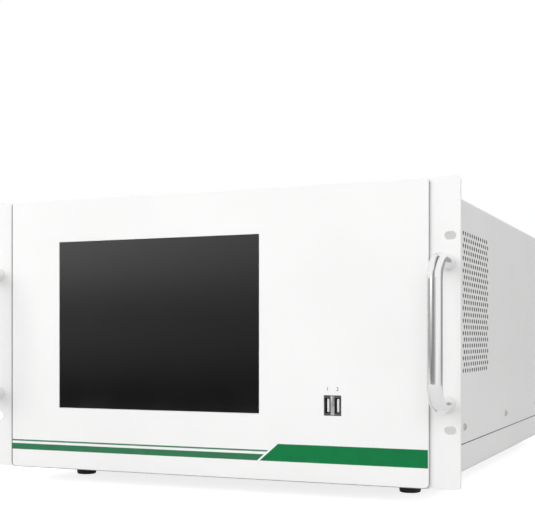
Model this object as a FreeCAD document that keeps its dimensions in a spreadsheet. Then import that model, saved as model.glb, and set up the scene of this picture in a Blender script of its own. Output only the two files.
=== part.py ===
import FreeCAD, Part
import math
import os
import re
import Sketcher

# Ion mobility spectrometer in a six-unit rack case, in millimetres.
# Each piece is drawn in case coordinates: across (X) from the middle of the case, along (Y) to the
# rear from the face of the front panel, up (Z) from the floor under the feet. The last offset
# along Y puts the origin under the middle of the whole instrument.

document = FreeCAD.newDocument("ion_mobility_spectrometer")
sheet = document.addObject("Spreadsheet::Sheet", "Sizes")

DRIVING = [
    # Front panel, with its screen and data socket openings
    ("panel_width", 430.0), ("panel_height", 265.9), ("panel_plate", 3.0),
    ("panel_corner", 5.0), ("panel_edge", 1.2),
    ("screen_width", 215.0), ("screen_height", 163.1), ("screen_left", 57.4), ("screen_above", 42.6),
    ("screen_corner", 1.0), ("glass_plate", 2.5), ("glass_sink", 0.5),
    ("module_margin", 10.0), ("module_depth", 8.0), ("module_rim", 6.0), ("module_hollow", 3.0),
    ("bracket_sheet", 1.5), ("bracket_flange", 12.0), ("bracket_cover", 14.0),
    ("socket_across", 343.0), ("socket_rise", 60.2), ("socket_width", 16.1), ("socket_height", 17.8),
    ("socket_depth", 18.0), ("socket_sink", 0.3), ("socket_collar", 3.0), ("collar_plate", 2.0),
    ("port_width", 5.2), ("port_height", 13.6), ("port_depth", 15.0), ("port_pitch", 9.2),
    ("tongue_width", 2.0), ("tongue_height", 11.9), ("tongue_sink", 1.5),
    # Rack ears and their slots
    ("ear_reach", 26.3), ("ear_plate", 3.0), ("ear_overlap", 12.0), ("ear_corner", 3.0),
    ("ear_leg", 24.0), ("ear_leg_inset", 6.0), ("ear_rebate", 1.0),
    ("slot_from_edge", 8.75), ("slot_spacing_up", 165.1),
    ("slot_length", 10.3), ("slot_height", 7.0),
    # Bar handles
    ("handle_bar", 13.0), ("handle_span", 120.0), ("handle_reach", 47.0), ("handle_bend", 19.0),
    ("handle_from_edge", 10.3), ("handle_screw_hole", 12.0),
    # Inner front frame
    ("frame_sheet", 2.0), ("frame_depth", 26.0), ("frame_clearance", 1.0),
    # Case cover and base tray
    ("case_step", 3.1), ("case_depth", 620.0), ("sheet_wall", 1.5), ("case_corner", 2.5),
    ("seam_rise", 26.8), ("seam_gap", 0.4), ("lip_rise", 26.0), ("screw_rise", 16.4),
    ("screw_first", 134.0), ("screw_pitch", 211.5), ("screw_count", 3),
    ("flange_rise", 16.0), ("flange_inset", 8.0),
    # Field of vent holes in the right side
    ("vent_flats", 4.2), ("vent_pitch", 10.0), ("vent_row", 6.03), ("vent_first", 129.5),
    ("vent_below_top", 32.9), ("vent_margin", 4.0), ("vent_columns", 12), ("vent_rows", 23),
    # Feet
    ("foot_height", 14.5), ("foot_top", 20.0), ("foot_edge", 1.0), ("foot_recess", 9.0),
    ("foot_recess_rise", 5.5), ("foot_from_side", 38.5), ("foot_inset", 79.0),
    # Rear panel
    ("rear_plate", 2.0), ("rear_screw_inset", 9.0), ("rear_screw_from_side", 25.0),
    # Mains inlet and switch
    ("inlet_from_side", 65.0), ("inlet_rise", 46.0), ("inlet_flange_width", 50.0),
    ("inlet_flange_height", 23.0), ("inlet_flange_plate", 2.5), ("inlet_body_width", 27.0),
    ("inlet_body_height", 19.8), ("inlet_body_depth", 20.0), ("inlet_recess_width", 24.0),
    ("inlet_recess_height", 16.2), ("inlet_recess_depth", 15.5), ("inlet_chamfer", 5.0),
    ("blade_width", 2.0), ("blade_height", 4.0), ("blade_length", 13.0), ("blade_pitch", 14.0),
    ("blade_step", 4.0),
    ("switch_from_inlet", 50.0), ("switch_width", 15.0), ("switch_height", 23.0), ("switch_lip", 1.8),
    ("switch_depth", 14.0), ("rocker_width", 10.4), ("rocker_length", 16.0), ("rocker_tilt", 10.0),
    ("rocker_valley", 3.0), ("rocker_horn", 5.0), ("rocker_root", 4.0), ("switch_gap", 0.4),
    ("switch_end_gap", 1.3),
    # Fans
    ("rear_fan_size", 80.0), ("rear_fan_across", 120.0), ("rear_fan_rise", 176.0),
    ("side_fan_size", 120.0), ("fan_depth", 25.0), ("fan_rim", 3.0), ("fan_hub_share", 0.19),
    ("fan_blade_plate", 1.2), ("fan_blades", 7), ("fan_blade_sweep", 0.25),
    ("fan_blade_camber", 2.0), ("fan_blade_margin", 1.2), ("fan_tip_gap", 1.0),
    ("fan_strut", 4.0), ("fan_motor_plate", 3.0),
    ("guard_bar", 2.0), ("guard_rings", 3), ("guard_pitch", 11.0), ("guard_stand", 2.5),
    # Gas fittings, sockets and stud on the rear panel
    ("fitting_count", 4), ("fitting_across", 170.0), ("fitting_pitch", 35.0),
    ("fitting_rise", 200.0),
    ("fitting_stub", 3.95), ("fitting_reach", 20.0), ("fitting_hex", 12.7),
    ("fitting_hex_plate", 5.0), ("fitting_shank", 4.5), ("fitting_inside", 14.0),
    ("fitting_bore", 1.65), ("fitting_nut_plate", 4.0),
    ("network_across", 60.0), ("serial_across", 120.0), ("data_rise", 56.0),
    ("network_width", 16.0), ("network_height", 14.0), ("network_depth", 18.0),
    ("network_mouth_width", 11.8), ("network_mouth_height", 8.2), ("network_mouth_depth", 12.0),
    ("network_proud", 1.0),
    ("serial_flange_width", 31.0), ("serial_flange_height", 12.5), ("serial_plate", 1.0),
    ("serial_shell_width", 17.0), ("serial_shell_height", 8.4), ("serial_shell_slant", 1.4),
    ("serial_proud", 5.6), ("serial_inside", 9.0),
    ("stud_from_side", 23.0), ("stud_radius", 2.5), ("stud_reach", 13.0), ("stud_hex", 8.0),
    ("stud_hex_plate", 4.0), ("stud_inside", 6.0),
    # Heated column and its box
    ("oven_to_wall", 13.5), ("oven_along", 160.0), ("oven_width", 170.0), ("oven_depth", 180.0),
    ("oven_height", 150.0), ("oven_sheet", 1.5), ("oven_wool", 18.0), ("oven_skirt", 12.0),
    ("heater_radius", 52.0), ("heater_plate", 4.0), ("spool_core", 36.0), ("spool_flange", 58.0),
    ("spool_plate", 2.0), ("coil_height", 36.0), ("coil_outside", 52.0),
    # Mobility cell
    ("cell_along", 290.0), ("cell_rise", 66.0), ("cell_radius", 30.0), ("cell_length", 130.0),
    ("cell_bore", 24.0), ("cell_flange", 36.0), ("cell_flange_plate", 6.0),
    ("sleeve_wall", 1.7), ("ring_bore", 12.0), ("ring_plate", 6.0), ("ring_pitch", 20.0),
    ("ring_count", 6), ("source_radius", 24.0), ("source_length", 24.0), ("source_plug", 5.0),
    ("line_radius", 4.0), ("amplifier_width", 70.0), ("amplifier_depth", 50.0),
    ("amplifier_height", 80.0), ("clamp_width", 56.0), ("clamp_depth", 12.0), ("clamp_inset", 26.0),
    # Sample valve, loop and pump
    ("valve_across", 20.0), ("valve_along", 110.0), ("actuator_size", 50.0),
    ("actuator_height", 60.0), ("valve_radius", 21.0), ("valve_height", 26.0),
    ("stem_radius", 8.0), ("stem_depth", 16.0), ("stem_proud", 8.0), ("pointer_length", 17.0),
    ("pointer_width", 5.0), ("pointer_plate", 4.0), ("loop_radius", 22.0), ("loop_tube", 1.5),
    ("loop_leg", 16.0),
    ("pump_across", 110.0), ("pump_along", 100.0), ("pump_size", 60.0), ("pump_height", 70.0),
    ("crank_chamber", 20.0), ("crank_depth", 14.0), ("crank_disc", 12.0), ("crank_throw", 4.0),
    ("crank_plate", 6.0), ("crank_shaft", 4.0), ("crank_bearing", 20.0),
    # Gas supply and electronics
    ("filter_to_wall", 13.5), ("filter_along", 310.0), ("filter_pitch", 52.0),
    ("filter_radius", 18.0), ("filter_height", 120.0), ("filter_cap", 8.0), ("filter_cap_lip", 2.0),
    ("manifold_to_wall", 18.5), ("manifold_along", 560.0), ("manifold_width", 90.0),
    ("manifold_depth", 36.0), ("manifold_height", 30.0), ("regulator_radius", 11.0),
    ("regulator_height", 24.0), ("regulator_pitch", 44.0),
    ("voltage_across", 15.0), ("voltage_along", 505.0), ("voltage_width", 90.0),
    ("voltage_depth", 110.0), ("voltage_height", 40.0), ("voltage_foot", 8.0), ("foot_plate", 2.0),
    ("supply_across", 130.0), ("supply_along", 510.0), ("supply_width", 110.0),
    ("supply_depth", 140.0), ("supply_height", 48.0), ("supply_step", 20.0), ("supply_low", 30.0),
    ("board_across", 90.0), ("board_along", 300.0), ("board_width", 170.0), ("board_depth", 220.0),
    ("board_plate", 1.6), ("board_inset", 8.0), ("standoff_height", 10.0), ("standoff_hex", 5.5),
    ("chip_size", 40.0), ("chip_height", 22.0), ("header_height", 10.0), ("header_width", 8.0),
    ("display_board_width", 130.0), ("display_board_height", 90.0), ("rail_width", 6.0),
    ("rail_depth", 8.0),
    # Screws and the clearances that all pieces share
    ("screw_radius", 2.0), ("screw_head", 3.5), ("screw_head_height", 2.0), ("screw_length", 10.0),
    ("screw_sides", 12), ("bolt_radius", 2.5), ("bolt_head", 4.8), ("bolt_grip", 9.0),
    ("fit_gap", 0.3), ("hole_gap", 0.15),
]

for row, (alias, number) in enumerate(DRIVING, start=1):
    sheet.set(f"A{row}", alias.replace("_", " "))
    sheet.set(f"B{row}", str(number))
    sheet.setAlias(f"B{row}", alias)
document.recompute()

# Places that several pieces share, worked out from the driving sizes
DERIVED = {
    "half_width": "panel_width / 2",
    "rack_half": "panel_width / 2 + ear_reach",
    "slot_across": "rack_half - slot_from_edge",
    "case_height": "panel_height - case_step",
    "foot_across": "half_width - foot_from_side",
    "panel_top": "foot_height + panel_height",
    "panel_middle": "foot_height + panel_height / 2",
    "screen_west": "screen_left - panel_width / 2",
    "screen_east": "screen_left - panel_width / 2 + screen_width",
    "screen_high": "foot_height + panel_height - screen_above",
    "screen_low": "foot_height + panel_height - screen_above - screen_height",
    "socket_middle": "socket_across - panel_width / 2",
    "socket_low": "foot_height + socket_rise",
    "module_back": "panel_plate + module_depth",
    "frame_half": "panel_width / 2 - ear_overlap",
    "frame_back": "panel_plate + frame_sheet",
    "ear_back": "panel_plate + ear_plate",
    "handle_across": "rack_half - handle_from_edge",
    "case_front": "panel_plate + ear_plate - ear_rebate + fit_gap",
    "case_top": "foot_height + case_height",
    "floor_top": "foot_height + sheet_wall",
    "roof_under": "foot_height + case_height - sheet_wall",
    "wall_inside": "panel_width / 2 - sheet_wall",
    "seam_level": "foot_height + seam_rise",
    "lip_face": "panel_width / 2 - sheet_wall - fit_gap",
    "rear_inside": "case_depth - rear_plate",
    "case_rear": "case_depth - rear_plate - fit_gap",
    "vent_high": "foot_height + case_height - vent_below_top + vent_row / 2",
    "rear_screw_spread": "half_width - rear_screw_from_side",
    "rear_screw_low": "foot_height + rear_screw_inset",
    "rear_screw_high": "foot_height + case_height - rear_screw_inset",
    "inlet_across": "half_width - inlet_from_side",
    "switch_across": "inlet_across - switch_from_inlet",
    "stud_across": "half_width - stud_from_side",
    "inlet_level": "foot_height + inlet_rise",
    "data_level": "foot_height + data_rise",
    "side_fan_along": "vent_first + (2 * vent_columns - 1) * vent_pitch / 4",
    "side_fan_level": "foot_height + case_height - vent_below_top - (vent_rows - 1) * vent_row / 2",
    "rear_fan_level": "foot_height + rear_fan_rise",
    "fitting_level": "foot_height + fitting_rise",
    "cell_level": "foot_height + sheet_wall + cell_rise",
    "oven_across": "wall_inside - oven_to_wall - oven_width / 2",
    "filter_across": "wall_inside - filter_to_wall - filter_radius",
    "manifold_across": "wall_inside - manifold_to_wall - manifold_width / 2",
    "oven_rear": "oven_along + oven_depth / 2",
    "oven_floor": "foot_height + sheet_wall + oven_sheet + fit_gap + oven_wool",
    "front_shift": "-(case_depth + fitting_reach + panel_plate - handle_reach - handle_bar / 2) / 2",
}

NAMES = {alias for alias, number in DRIVING}
pieces = []
case_screws = []


def sized(text):
    """The text as an expression on the sheet, with every named size and place written out."""
    def spelled(word):
        name = word.group(0)
        if name in DERIVED:
            return "(" + sized(DERIVED[name]) + ")"
        return "Sizes." + name if name in NAMES else name
    return re.sub(r"[a-z_]+", spelled, text)


def number_of(text):
    """The present value of a text that names sizes."""
    return float(sheet.evalExpression(sized(text)))


def bind(feature, **texts):
    """Tie properties of a feature to sizes."""
    for name, text in texts.items():
        feature.setExpression(name, sized(text))


def place(feature, across="0", along="0", up="0"):
    """Tie the place of a feature to sizes."""
    for axis, text in (("x", across), ("y", along), ("z", up)):
        feature.setExpression("Placement.Base." + axis, sized(text))


def deliver(piece, label, across="0", along="0", up="0"):
    """Name a finished piece, put it in the instrument's frame and keep it for the hand-in."""
    piece.Label = label
    place(piece, across, f"{along} + front_shift", up)
    pieces.append(piece)
    return piece


# Bodies drawn from sketches

def new_body(label):
    return document.addObject("PartDesign::Body", label)


def origin_plane(body, role):
    return next(feature for feature in body.Origin.OriginFeatures if feature.Role == role)


def sketch_on(body, name, role, offset="0"):
    """A sketch on one of the body's own planes. Front sketches lie at a distance to the rear."""
    sketch = body.newObject("Sketcher::SketchObject", name)
    sketch.AttachmentSupport = [(origin_plane(body, role), "")]
    sketch.MapMode = "FlatFace"
    along_normal = f"-({offset})" if role == "XZ_Plane" else offset
    sketch.setExpression("AttachmentOffset.Base.z", sized(along_normal))
    return sketch


def fix_point(sketch, edge, end, right, high):
    """Tie one point of a sketch to a place."""
    for kind, text in (("DistanceX", right), ("DistanceY", high)):
        index = sketch.addConstraint(Sketcher.Constraint(kind, -1, 1, edge, end, number_of(text)))
        sketch.setExpression(f"Constraints[{index}]", sized(text))


def outline(sketch, corners):
    """A closed outline of straight edges through corners that are tied to sizes."""
    first = sketch.GeometryCount
    count = len(corners)
    spots = [FreeCAD.Vector(number_of(right), number_of(high), 0) for right, high in corners]
    for index in range(count):
        sketch.addGeometry(Part.LineSegment(spots[index], spots[(index + 1) % count]), False)
    for index in range(count):
        following = first + (index + 1) % count
        sketch.addConstraint(Sketcher.Constraint("Coincident", first + index, 2, following, 1))
    for index, (right, high) in enumerate(corners):
        fix_point(sketch, first + index, 1, right, high)


def rectangle(sketch, west, low, east, high):
    outline(sketch, [(west, low), (east, low), (east, high), (west, high)])


def box_outline(sketch, middle, level, width, height):
    rectangle(sketch, f"{middle} - ({width}) / 2", f"{level} - ({height}) / 2",
              f"{middle} + ({width}) / 2", f"{level} + ({height}) / 2")


def circle(sketch, right, high, radius):
    middle = FreeCAD.Vector(number_of(right), number_of(high), 0)
    drawn = Part.Circle(middle, FreeCAD.Vector(0, 0, 1), number_of(radius))
    index = sketch.addGeometry(drawn, False)
    fix_point(sketch, index, 3, right, high)
    sized_by = sketch.addConstraint(Sketcher.Constraint("Radius", index, number_of(radius)))
    sketch.setExpression(f"Constraints[{sized_by}]", sized(radius))


def polygon(sketch, right, high, flats, sides=6):
    """A regular polygon given by its width across flats, with a corner at the top."""
    corners = []
    for index in range(sides):
        angle = 90 + index * 360 / sides
        reach = f"({flats}) / 2 / cos({180 / sides})"
        corners.append((f"{right} + {reach} * cos({angle})", f"{high} + {reach} * sin({angle})"))
    outline(sketch, corners)


def screw_hole(sketch, right, high, radius="screw_radius"):
    """A clearance hole for a small screw, drawn with as many flats as the screw."""
    polygon(sketch, right, high, f"2 * ({radius} + hole_gap)", int(number_of("screw_sides")))


def slot(sketch, right, high, length, height):
    """A level slot with round ends."""
    x, y = number_of(right), number_of(high)
    radius = number_of(height) / 2
    half = number_of(length) / 2 - radius
    first = sketch.GeometryCount
    quarter = math.pi / 2
    up = FreeCAD.Vector(0, 0, 1)
    for side, start in ((1, -quarter), (-1, quarter)):
        ring = Part.Circle(FreeCAD.Vector(x + side * half, y, 0), up, radius)
        sketch.addGeometry(Part.ArcOfCircle(ring, start, start + math.pi), False)
    for side in (1, -1):
        start = FreeCAD.Vector(x + side * half, y + side * radius, 0)
        end = FreeCAD.Vector(x - side * half, y + side * radius, 0)
        sketch.addGeometry(Part.LineSegment(start, end), False)
    east, west, top, bottom = first, first + 1, first + 2, first + 3
    for edge, end, other, start in ((east, 2, top, 1), (top, 2, west, 1),
                                    (west, 2, bottom, 1), (bottom, 2, east, 1)):
        sketch.addConstraint(Sketcher.Constraint("Tangent", edge, end, other, start))
    fix_point(sketch, east, 3, f"{right} + ({length} - {height}) / 2", high)
    fix_point(sketch, west, 3, f"{right} - ({length} - {height}) / 2", high)
    sized_by = sketch.addConstraint(Sketcher.Constraint("Radius", east, radius))
    sketch.setExpression(f"Constraints[{sized_by}]", sized(f"({height}) / 2"))


def pad(body, sketch, length, rearward=False):
    """Thicken a sketch along its normal, or towards the rear for a sketch that faces the front."""
    feature = body.newObject("PartDesign::Pad", sketch.Name + "Pad")
    feature.Profile = sketch
    feature.Reversed = rearward
    bind(feature, Length=length)
    document.recompute()
    return feature


def pocket(body, sketch, depth=None, flip=False, taper=0):
    """Cut a sketch into the body against its normal, to a depth or all the way both ways."""
    before = body.Shape.Volume
    feature = body.newObject("PartDesign::Pocket", sketch.Name + "Cut")
    feature.Profile = sketch
    feature.Reversed = flip
    feature.TaperAngle = taper
    if depth is None:
        feature.Type = "ThroughAll"
        feature.Midplane = True
    else:
        bind(feature, Length=depth)
    document.recompute()
    if not body.Shape.Volume < before:
        raise RuntimeError(f"{sketch.Name} cuts nothing out of {body.Label}")
    return feature


def round_edges(body, radius, chosen):
    """Round the edges of a body whose bounding box passes a test."""
    base = body.Tip
    names = []
    for index, edge in enumerate(base.Shape.Edges, start=1):
        if chosen(edge.BoundBox):
            names.append(f"Edge{index}")
    feature = body.newObject("PartDesign::Fillet", body.Name + "Round")
    feature.Base = (base, names)
    bind(feature, Radius=radius)
    document.recompute()
    return feature


def revolve(body, sketch, axis):
    """Turn a profile once round one of its sketch's axes."""
    feature = body.newObject("PartDesign::Revolution", sketch.Name + "Turn")
    feature.Profile = sketch
    feature.ReferenceAxis = (sketch, [axis])
    feature.Angle = 360
    document.recompute()
    return feature


def near(first, second, slack=0.01):
    return abs(first - second) < slack


# Plain solids and their combinations

TURNS = {
    "x": FreeCAD.Rotation(FreeCAD.Vector(0, 1, 0), 90),
    "y": FreeCAD.Rotation(FreeCAD.Vector(1, 0, 0), -90),
    "z": FreeCAD.Rotation(),
}


def block(name, width, depth, height, across="0", along="0", up="0"):
    """A box given by the middle of its underside."""
    solid = document.addObject("Part::Box", name)
    bind(solid, Length=width, Width=depth, Height=height)
    place(solid, f"{across} - ({width}) / 2", f"{along} - ({depth}) / 2", up)
    return solid


def rod(name, radius, length, axis="z", across="0", along="0", up="0"):
    """A cylinder that starts at a place and runs along an axis."""
    solid = document.addObject("Part::Cylinder", name)
    bind(solid, Radius=radius, Height=length)
    solid.Placement = FreeCAD.Placement(FreeCAD.Vector(), TURNS[axis])
    place(solid, across, along, up)
    return solid


def small_rod(name, radius, length, axis="z", across="0", along="0", up="0"):
    """A small round bar such as a screw shank, drawn with a few flats to stay light."""
    solid = document.addObject("Part::Prism", name)
    bind(solid, Polygon="screw_sides", Circumradius=radius, Height=length)
    solid.Placement = FreeCAD.Placement(FreeCAD.Vector(), TURNS[axis])
    place(solid, across, along, up)
    return solid


def hex_bar(name, flats, length, axis="z", across="0", along="0", up="0"):
    """A hexagonal bar given by its width across flats."""
    solid = document.addObject("Part::Prism", name)
    solid.Polygon = 6
    bind(solid, Circumradius=f"({flats}) / 2 / cos(30)", Height=length)
    solid.Placement = FreeCAD.Placement(FreeCAD.Vector(), TURNS[axis])
    place(solid, across, along, up)
    return solid


def joined(name, solids):
    whole = document.addObject("Part::MultiFuse", name)
    whole.Shapes = solids
    return whole


def cut_from(name, base, tool):
    rest = document.addObject("Part::Cut", name)
    rest.Base = base
    rest.Tool = tool
    return rest


def group(name, solids):
    """Several like solids in one piece."""
    gathered = document.addObject("Part::Compound", name)
    gathered.Links = solids
    return gathered


def screw(name, axis, across, along, up, outward=1):
    """A plain pan-head screw whose head sits at a place and whose shank runs away from the head."""
    lift = {"x": (1, 0, 0), "y": (0, 1, 0), "z": (0, 0, 1)}[axis]
    head_back = "screw_head_height" if outward < 0 else "0"
    shank_back = "0" if outward < 0 else "screw_length"
    spots = {}
    for part, back in (("Head", head_back), ("Shank", shank_back)):
        spots[part] = [f"{text} - ({back}) * {step}"
                       for text, step in zip((across, along, up), lift)]
    head = small_rod(name + "Head", "screw_head", "screw_head_height", axis, *spots["Head"])
    shank = small_rod(name + "Shank", "screw_radius", "screw_length", axis, *spots["Shank"])
    return joined(name, [head, shank])


# Front panel: flat plate with rounded corners and softened front edges
def make_front_panel():
    body = new_body("front_panel")
    face = sketch_on(body, "PanelFace", "XZ_Plane")
    rectangle(face, "-half_width", "foot_height", "half_width", "panel_top")
    pad(body, face, "panel_plate", rearward=True)
    half = number_of("half_width")
    round_edges(body, "panel_corner", lambda box: box.YLength > 1 and near(abs(box.XMin), half))
    round_edges(body, "panel_edge", lambda box: near(box.YMax, 0))
    screen = sketch_on(body, "ScreenOpening", "XZ_Plane")
    rectangle(screen, "screen_west", "screen_low", "screen_east", "screen_high")
    pocket(body, screen)
    data = sketch_on(body, "SocketOpening", "XZ_Plane")
    box_outline(data, "socket_middle", "socket_low + socket_height / 2",
                "socket_width + 2 * hole_gap", "socket_height + 2 * hole_gap")
    pocket(body, data)
    deliver(body, "front_panel")


# Display: glass pane, panel module behind it and the sheet bracket that holds them
def make_display():
    glass = new_body("display_glass")
    pane = sketch_on(glass, "Pane", "XZ_Plane", "glass_sink")
    rectangle(pane, "screen_west + fit_gap", "screen_low + fit_gap",
              "screen_east - fit_gap", "screen_high - fit_gap")
    pad(glass, pane, "glass_plate", rearward=True)
    round_edges(glass, "screen_corner", lambda box: box.YLength > 1)
    deliver(glass, "display_glass")

    def framing(sketch, margin):
        rectangle(sketch, f"screen_west - ({margin})", f"screen_low - ({margin})",
                  f"screen_east + {margin}", f"screen_high + {margin}")

    module = new_body("display_module")
    chassis = sketch_on(module, "Chassis", "XZ_Plane", "panel_plate")
    framing(chassis, "module_margin")
    pad(module, chassis, "module_depth", rearward=True)
    hollow = sketch_on(module, "ChassisHollow", "XZ_Plane", "module_back - module_hollow")
    framing(hollow, "(module_margin - module_rim)")
    pocket(module, hollow, "module_hollow")
    deliver(module, "display_module")

    bracket = new_body("display_bracket")
    hat = sketch_on(bracket, "Hat", "XZ_Plane", "frame_back")
    framing(hat, "(module_margin + fit_gap + bracket_sheet)")
    pad(bracket, hat, "module_depth - frame_sheet + bracket_sheet", rearward=True)
    flange = sketch_on(bracket, "HatFlange", "XZ_Plane", "frame_back")
    framing(flange, "(module_margin + bracket_flange)")
    pad(bracket, flange, "bracket_sheet", rearward=True)
    inside = sketch_on(bracket, "HatInside", "XZ_Plane", "frame_back")
    framing(inside, "(module_margin + fit_gap)")
    pocket(bracket, inside, "module_depth - frame_sheet")
    window = sketch_on(bracket, "HatWindow", "XZ_Plane", "frame_back")
    framing(window, "(module_margin - bracket_cover)")
    pocket(bracket, window)
    deliver(bracket, "display_bracket")

    board = block("DisplayBoardPlate", "display_board_width", "board_plate", "display_board_height",
                  "(screen_west + screen_east) / 2",
                  "module_back + bracket_sheet + rail_depth + board_plate / 2",
                  "(screen_low + screen_high - display_board_height) / 2")
    rails = []
    for name, level in (("Low", "screen_low - module_margin + bracket_cover - rail_width"),
                        ("High", "screen_high + module_margin - bracket_cover")):
        rails.append(block("DisplayRail" + name, "display_board_width", "rail_depth", "rail_width",
                           "(screen_west + screen_east) / 2",
                           "module_back + bracket_sheet + rail_depth / 2", level))
    strap = block("DisplayStrap", "display_board_width / 2", "board_plate",
                  "screen_high - screen_low + 2 * (module_margin - bracket_cover + rail_width)",
                  "(screen_west + screen_east) / 2",
                  "module_back + bracket_sheet + rail_depth + board_plate / 2",
                  "screen_low - module_margin + bracket_cover - rail_width")
    deliver(joined("controller_board", [board, strap] + rails), "controller_board")


# Data sockets: metal block with two upright ports, and a contact tongue in each port
def make_data_sockets():
    body = new_body("usb_socket_block")
    middle = "socket_low + socket_height / 2"
    face = sketch_on(body, "SocketFace", "XZ_Plane", "socket_sink")
    box_outline(face, "socket_middle", middle, "socket_width", "socket_height")
    pad(body, face, "socket_depth", rearward=True)
    collar = sketch_on(body, "SocketCollar", "XZ_Plane", "panel_plate")
    box_outline(collar, "socket_middle", middle,
                "socket_width + 2 * socket_collar", "socket_height + 2 * socket_collar")
    pad(body, collar, "collar_plate", rearward=True)
    ports = sketch_on(body, "Ports", "XZ_Plane", "socket_sink")
    for side in ("-", "+"):
        box_outline(ports, f"socket_middle {side} port_pitch / 2", middle,
                    "port_width", "port_height")
    pocket(body, ports, "port_depth")
    deliver(body, "usb_socket_block")

    tongues = []
    for name, side in (("West", "-"), ("East", "+")):
        tongues.append(block("Tongue" + name, "tongue_width", "port_depth - tongue_sink",
                             "tongue_height", f"socket_middle {side} port_pitch / 2",
                             "socket_sink + (port_depth + tongue_sink) / 2",
                             f"{middle} - tongue_height / 2"))
    deliver(group("usb_tongues", tongues), "usb_tongues")


# Inner front frame: sheet pan that ties the panel, the ears and the case together
def make_front_frame():
    body = new_body("front_frame")
    pan = sketch_on(body, "Pan", "XZ_Plane", "panel_plate")
    rectangle(pan, "-frame_half", "floor_top", "frame_half", "roof_under - fit_gap")
    pad(body, pan, "frame_depth", rearward=True)
    inside = sketch_on(body, "PanInside", "XZ_Plane", "frame_back")
    rectangle(inside, "frame_sheet - frame_half", "floor_top + frame_sheet",
              "frame_half - frame_sheet", "roof_under - fit_gap - frame_sheet")
    pocket(body, inside, "frame_depth - frame_sheet")
    openings = sketch_on(body, "PanOpenings", "XZ_Plane", "panel_plate")
    margin = "(module_margin + frame_clearance)"
    rectangle(openings, f"screen_west - {margin}", f"screen_low - {margin}",
              f"screen_east + {margin}", f"screen_high + {margin}")
    box_outline(openings, "socket_middle", "socket_low + socket_height / 2",
                "socket_width + 2 * (socket_collar + frame_clearance)",
                "socket_height + 2 * (socket_collar + frame_clearance)")
    pocket(body, openings)
    holes = sketch_on(body, "PanScrewHoles", "YZ_Plane")
    for side in ("-", "+"):
        screw_hole(holes, "ear_back + ear_leg / 2", f"panel_middle {side} slot_spacing_up / 2")
    pocket(body, holes)
    deliver(body, "front_frame")


# Rack ears: angle plates with two slots, two sunk handle screws and a leg inside the case. The
# front edge of the case lies in a shallow rebate, so the rest of the back can lie on a rack rail.
def make_ears_and_handles():
    handle_bolts = []
    for side, sign in (("left", "-1"), ("right", "1")):
        body = new_body("rack_ear_" + side)
        flange = sketch_on(body, "EarFlange", "XZ_Plane", "panel_plate")
        rectangle(flange, f"{sign} * frame_half", "foot_height", f"{sign} * rack_half", "panel_top")
        pad(body, flange, "ear_plate", rearward=True)
        edge = number_of("rack_half")
        round_edges(body, "ear_corner",
                    lambda box, edge=edge: box.YLength > 1 and near(abs(box.XMin), edge))
        rebate = sketch_on(body, "EarRebate", "XZ_Plane", "ear_back")
        rectangle(rebate, f"{sign} * frame_half", "foot_height",
                  f"{sign} * (half_width + fit_gap)", "case_top + fit_gap")
        pocket(body, rebate, "ear_rebate", flip=True)
        leg = sketch_on(body, "EarLeg", "XZ_Plane", "panel_plate")
        rectangle(leg, f"{sign} * frame_half", "floor_top + ear_leg_inset",
                  f"{sign} * (frame_half + ear_plate)", "roof_under - ear_leg_inset")
        pad(body, leg, "ear_plate + ear_leg", rearward=True)
        slots = sketch_on(body, "EarSlots", "XZ_Plane", "panel_plate")
        sinks = sketch_on(body, "EarSinks", "XZ_Plane", "ear_back")
        holes = sketch_on(body, "EarScrewHoles", "YZ_Plane")
        for way in ("-", "+"):
            slot(slots, f"{sign} * slot_across",
                 f"panel_middle {way} slot_spacing_up / 2", "slot_length", "slot_height")
            screw_hole(slots, f"{sign} * handle_across", f"panel_middle {way} handle_span / 2",
                       "bolt_radius")
            circle(sinks, f"{sign} * handle_across", f"panel_middle {way} handle_span / 2",
                   "bolt_head + hole_gap")
            screw_hole(holes, "ear_back + ear_leg / 2", f"panel_middle {way} slot_spacing_up / 2")
        pocket(body, slots)
        pocket(body, sinks, "bolt_head - bolt_radius", flip=True, taper=-45)
        pocket(body, holes)
        deliver(body, "rack_ear_" + side)
        make_handle(side, sign)
        for way, mark in (("Low", "-"), ("High", "+")):
            handle_bolts.append(sunk_screw(f"HandleBolt{side.title()}{way}",
                                           f"{sign} * handle_across",
                                           f"panel_middle {mark} handle_span / 2"))
            case_screws.append(screw(f"EarScrew{side.title()}{way}", "x",
                                     f"{sign} * (frame_half + ear_plate)",
                                     "ear_back + ear_leg / 2",
                                     f"panel_middle {mark} slot_spacing_up / 2", int(sign)))
    deliver(group("handle_screws", handle_bolts), "handle_screws")


def sunk_screw(name, across, up):
    """A countersunk screw through an ear from behind, its head flush with the ear's back."""
    head = document.addObject("Part::Cone", name + "Head")
    bind(head, Radius1="bolt_radius", Radius2="bolt_head", Height="bolt_head - bolt_radius")
    head.Placement = FreeCAD.Placement(FreeCAD.Vector(), TURNS["y"])
    place(head, across, "ear_back - bolt_head + bolt_radius", up)
    shank = small_rod(name + "Shank", "bolt_radius", "ear_plate + bolt_grip", "y",
                      across, "panel_plate - bolt_grip", up)
    return joined(name, [head, shank])


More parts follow.
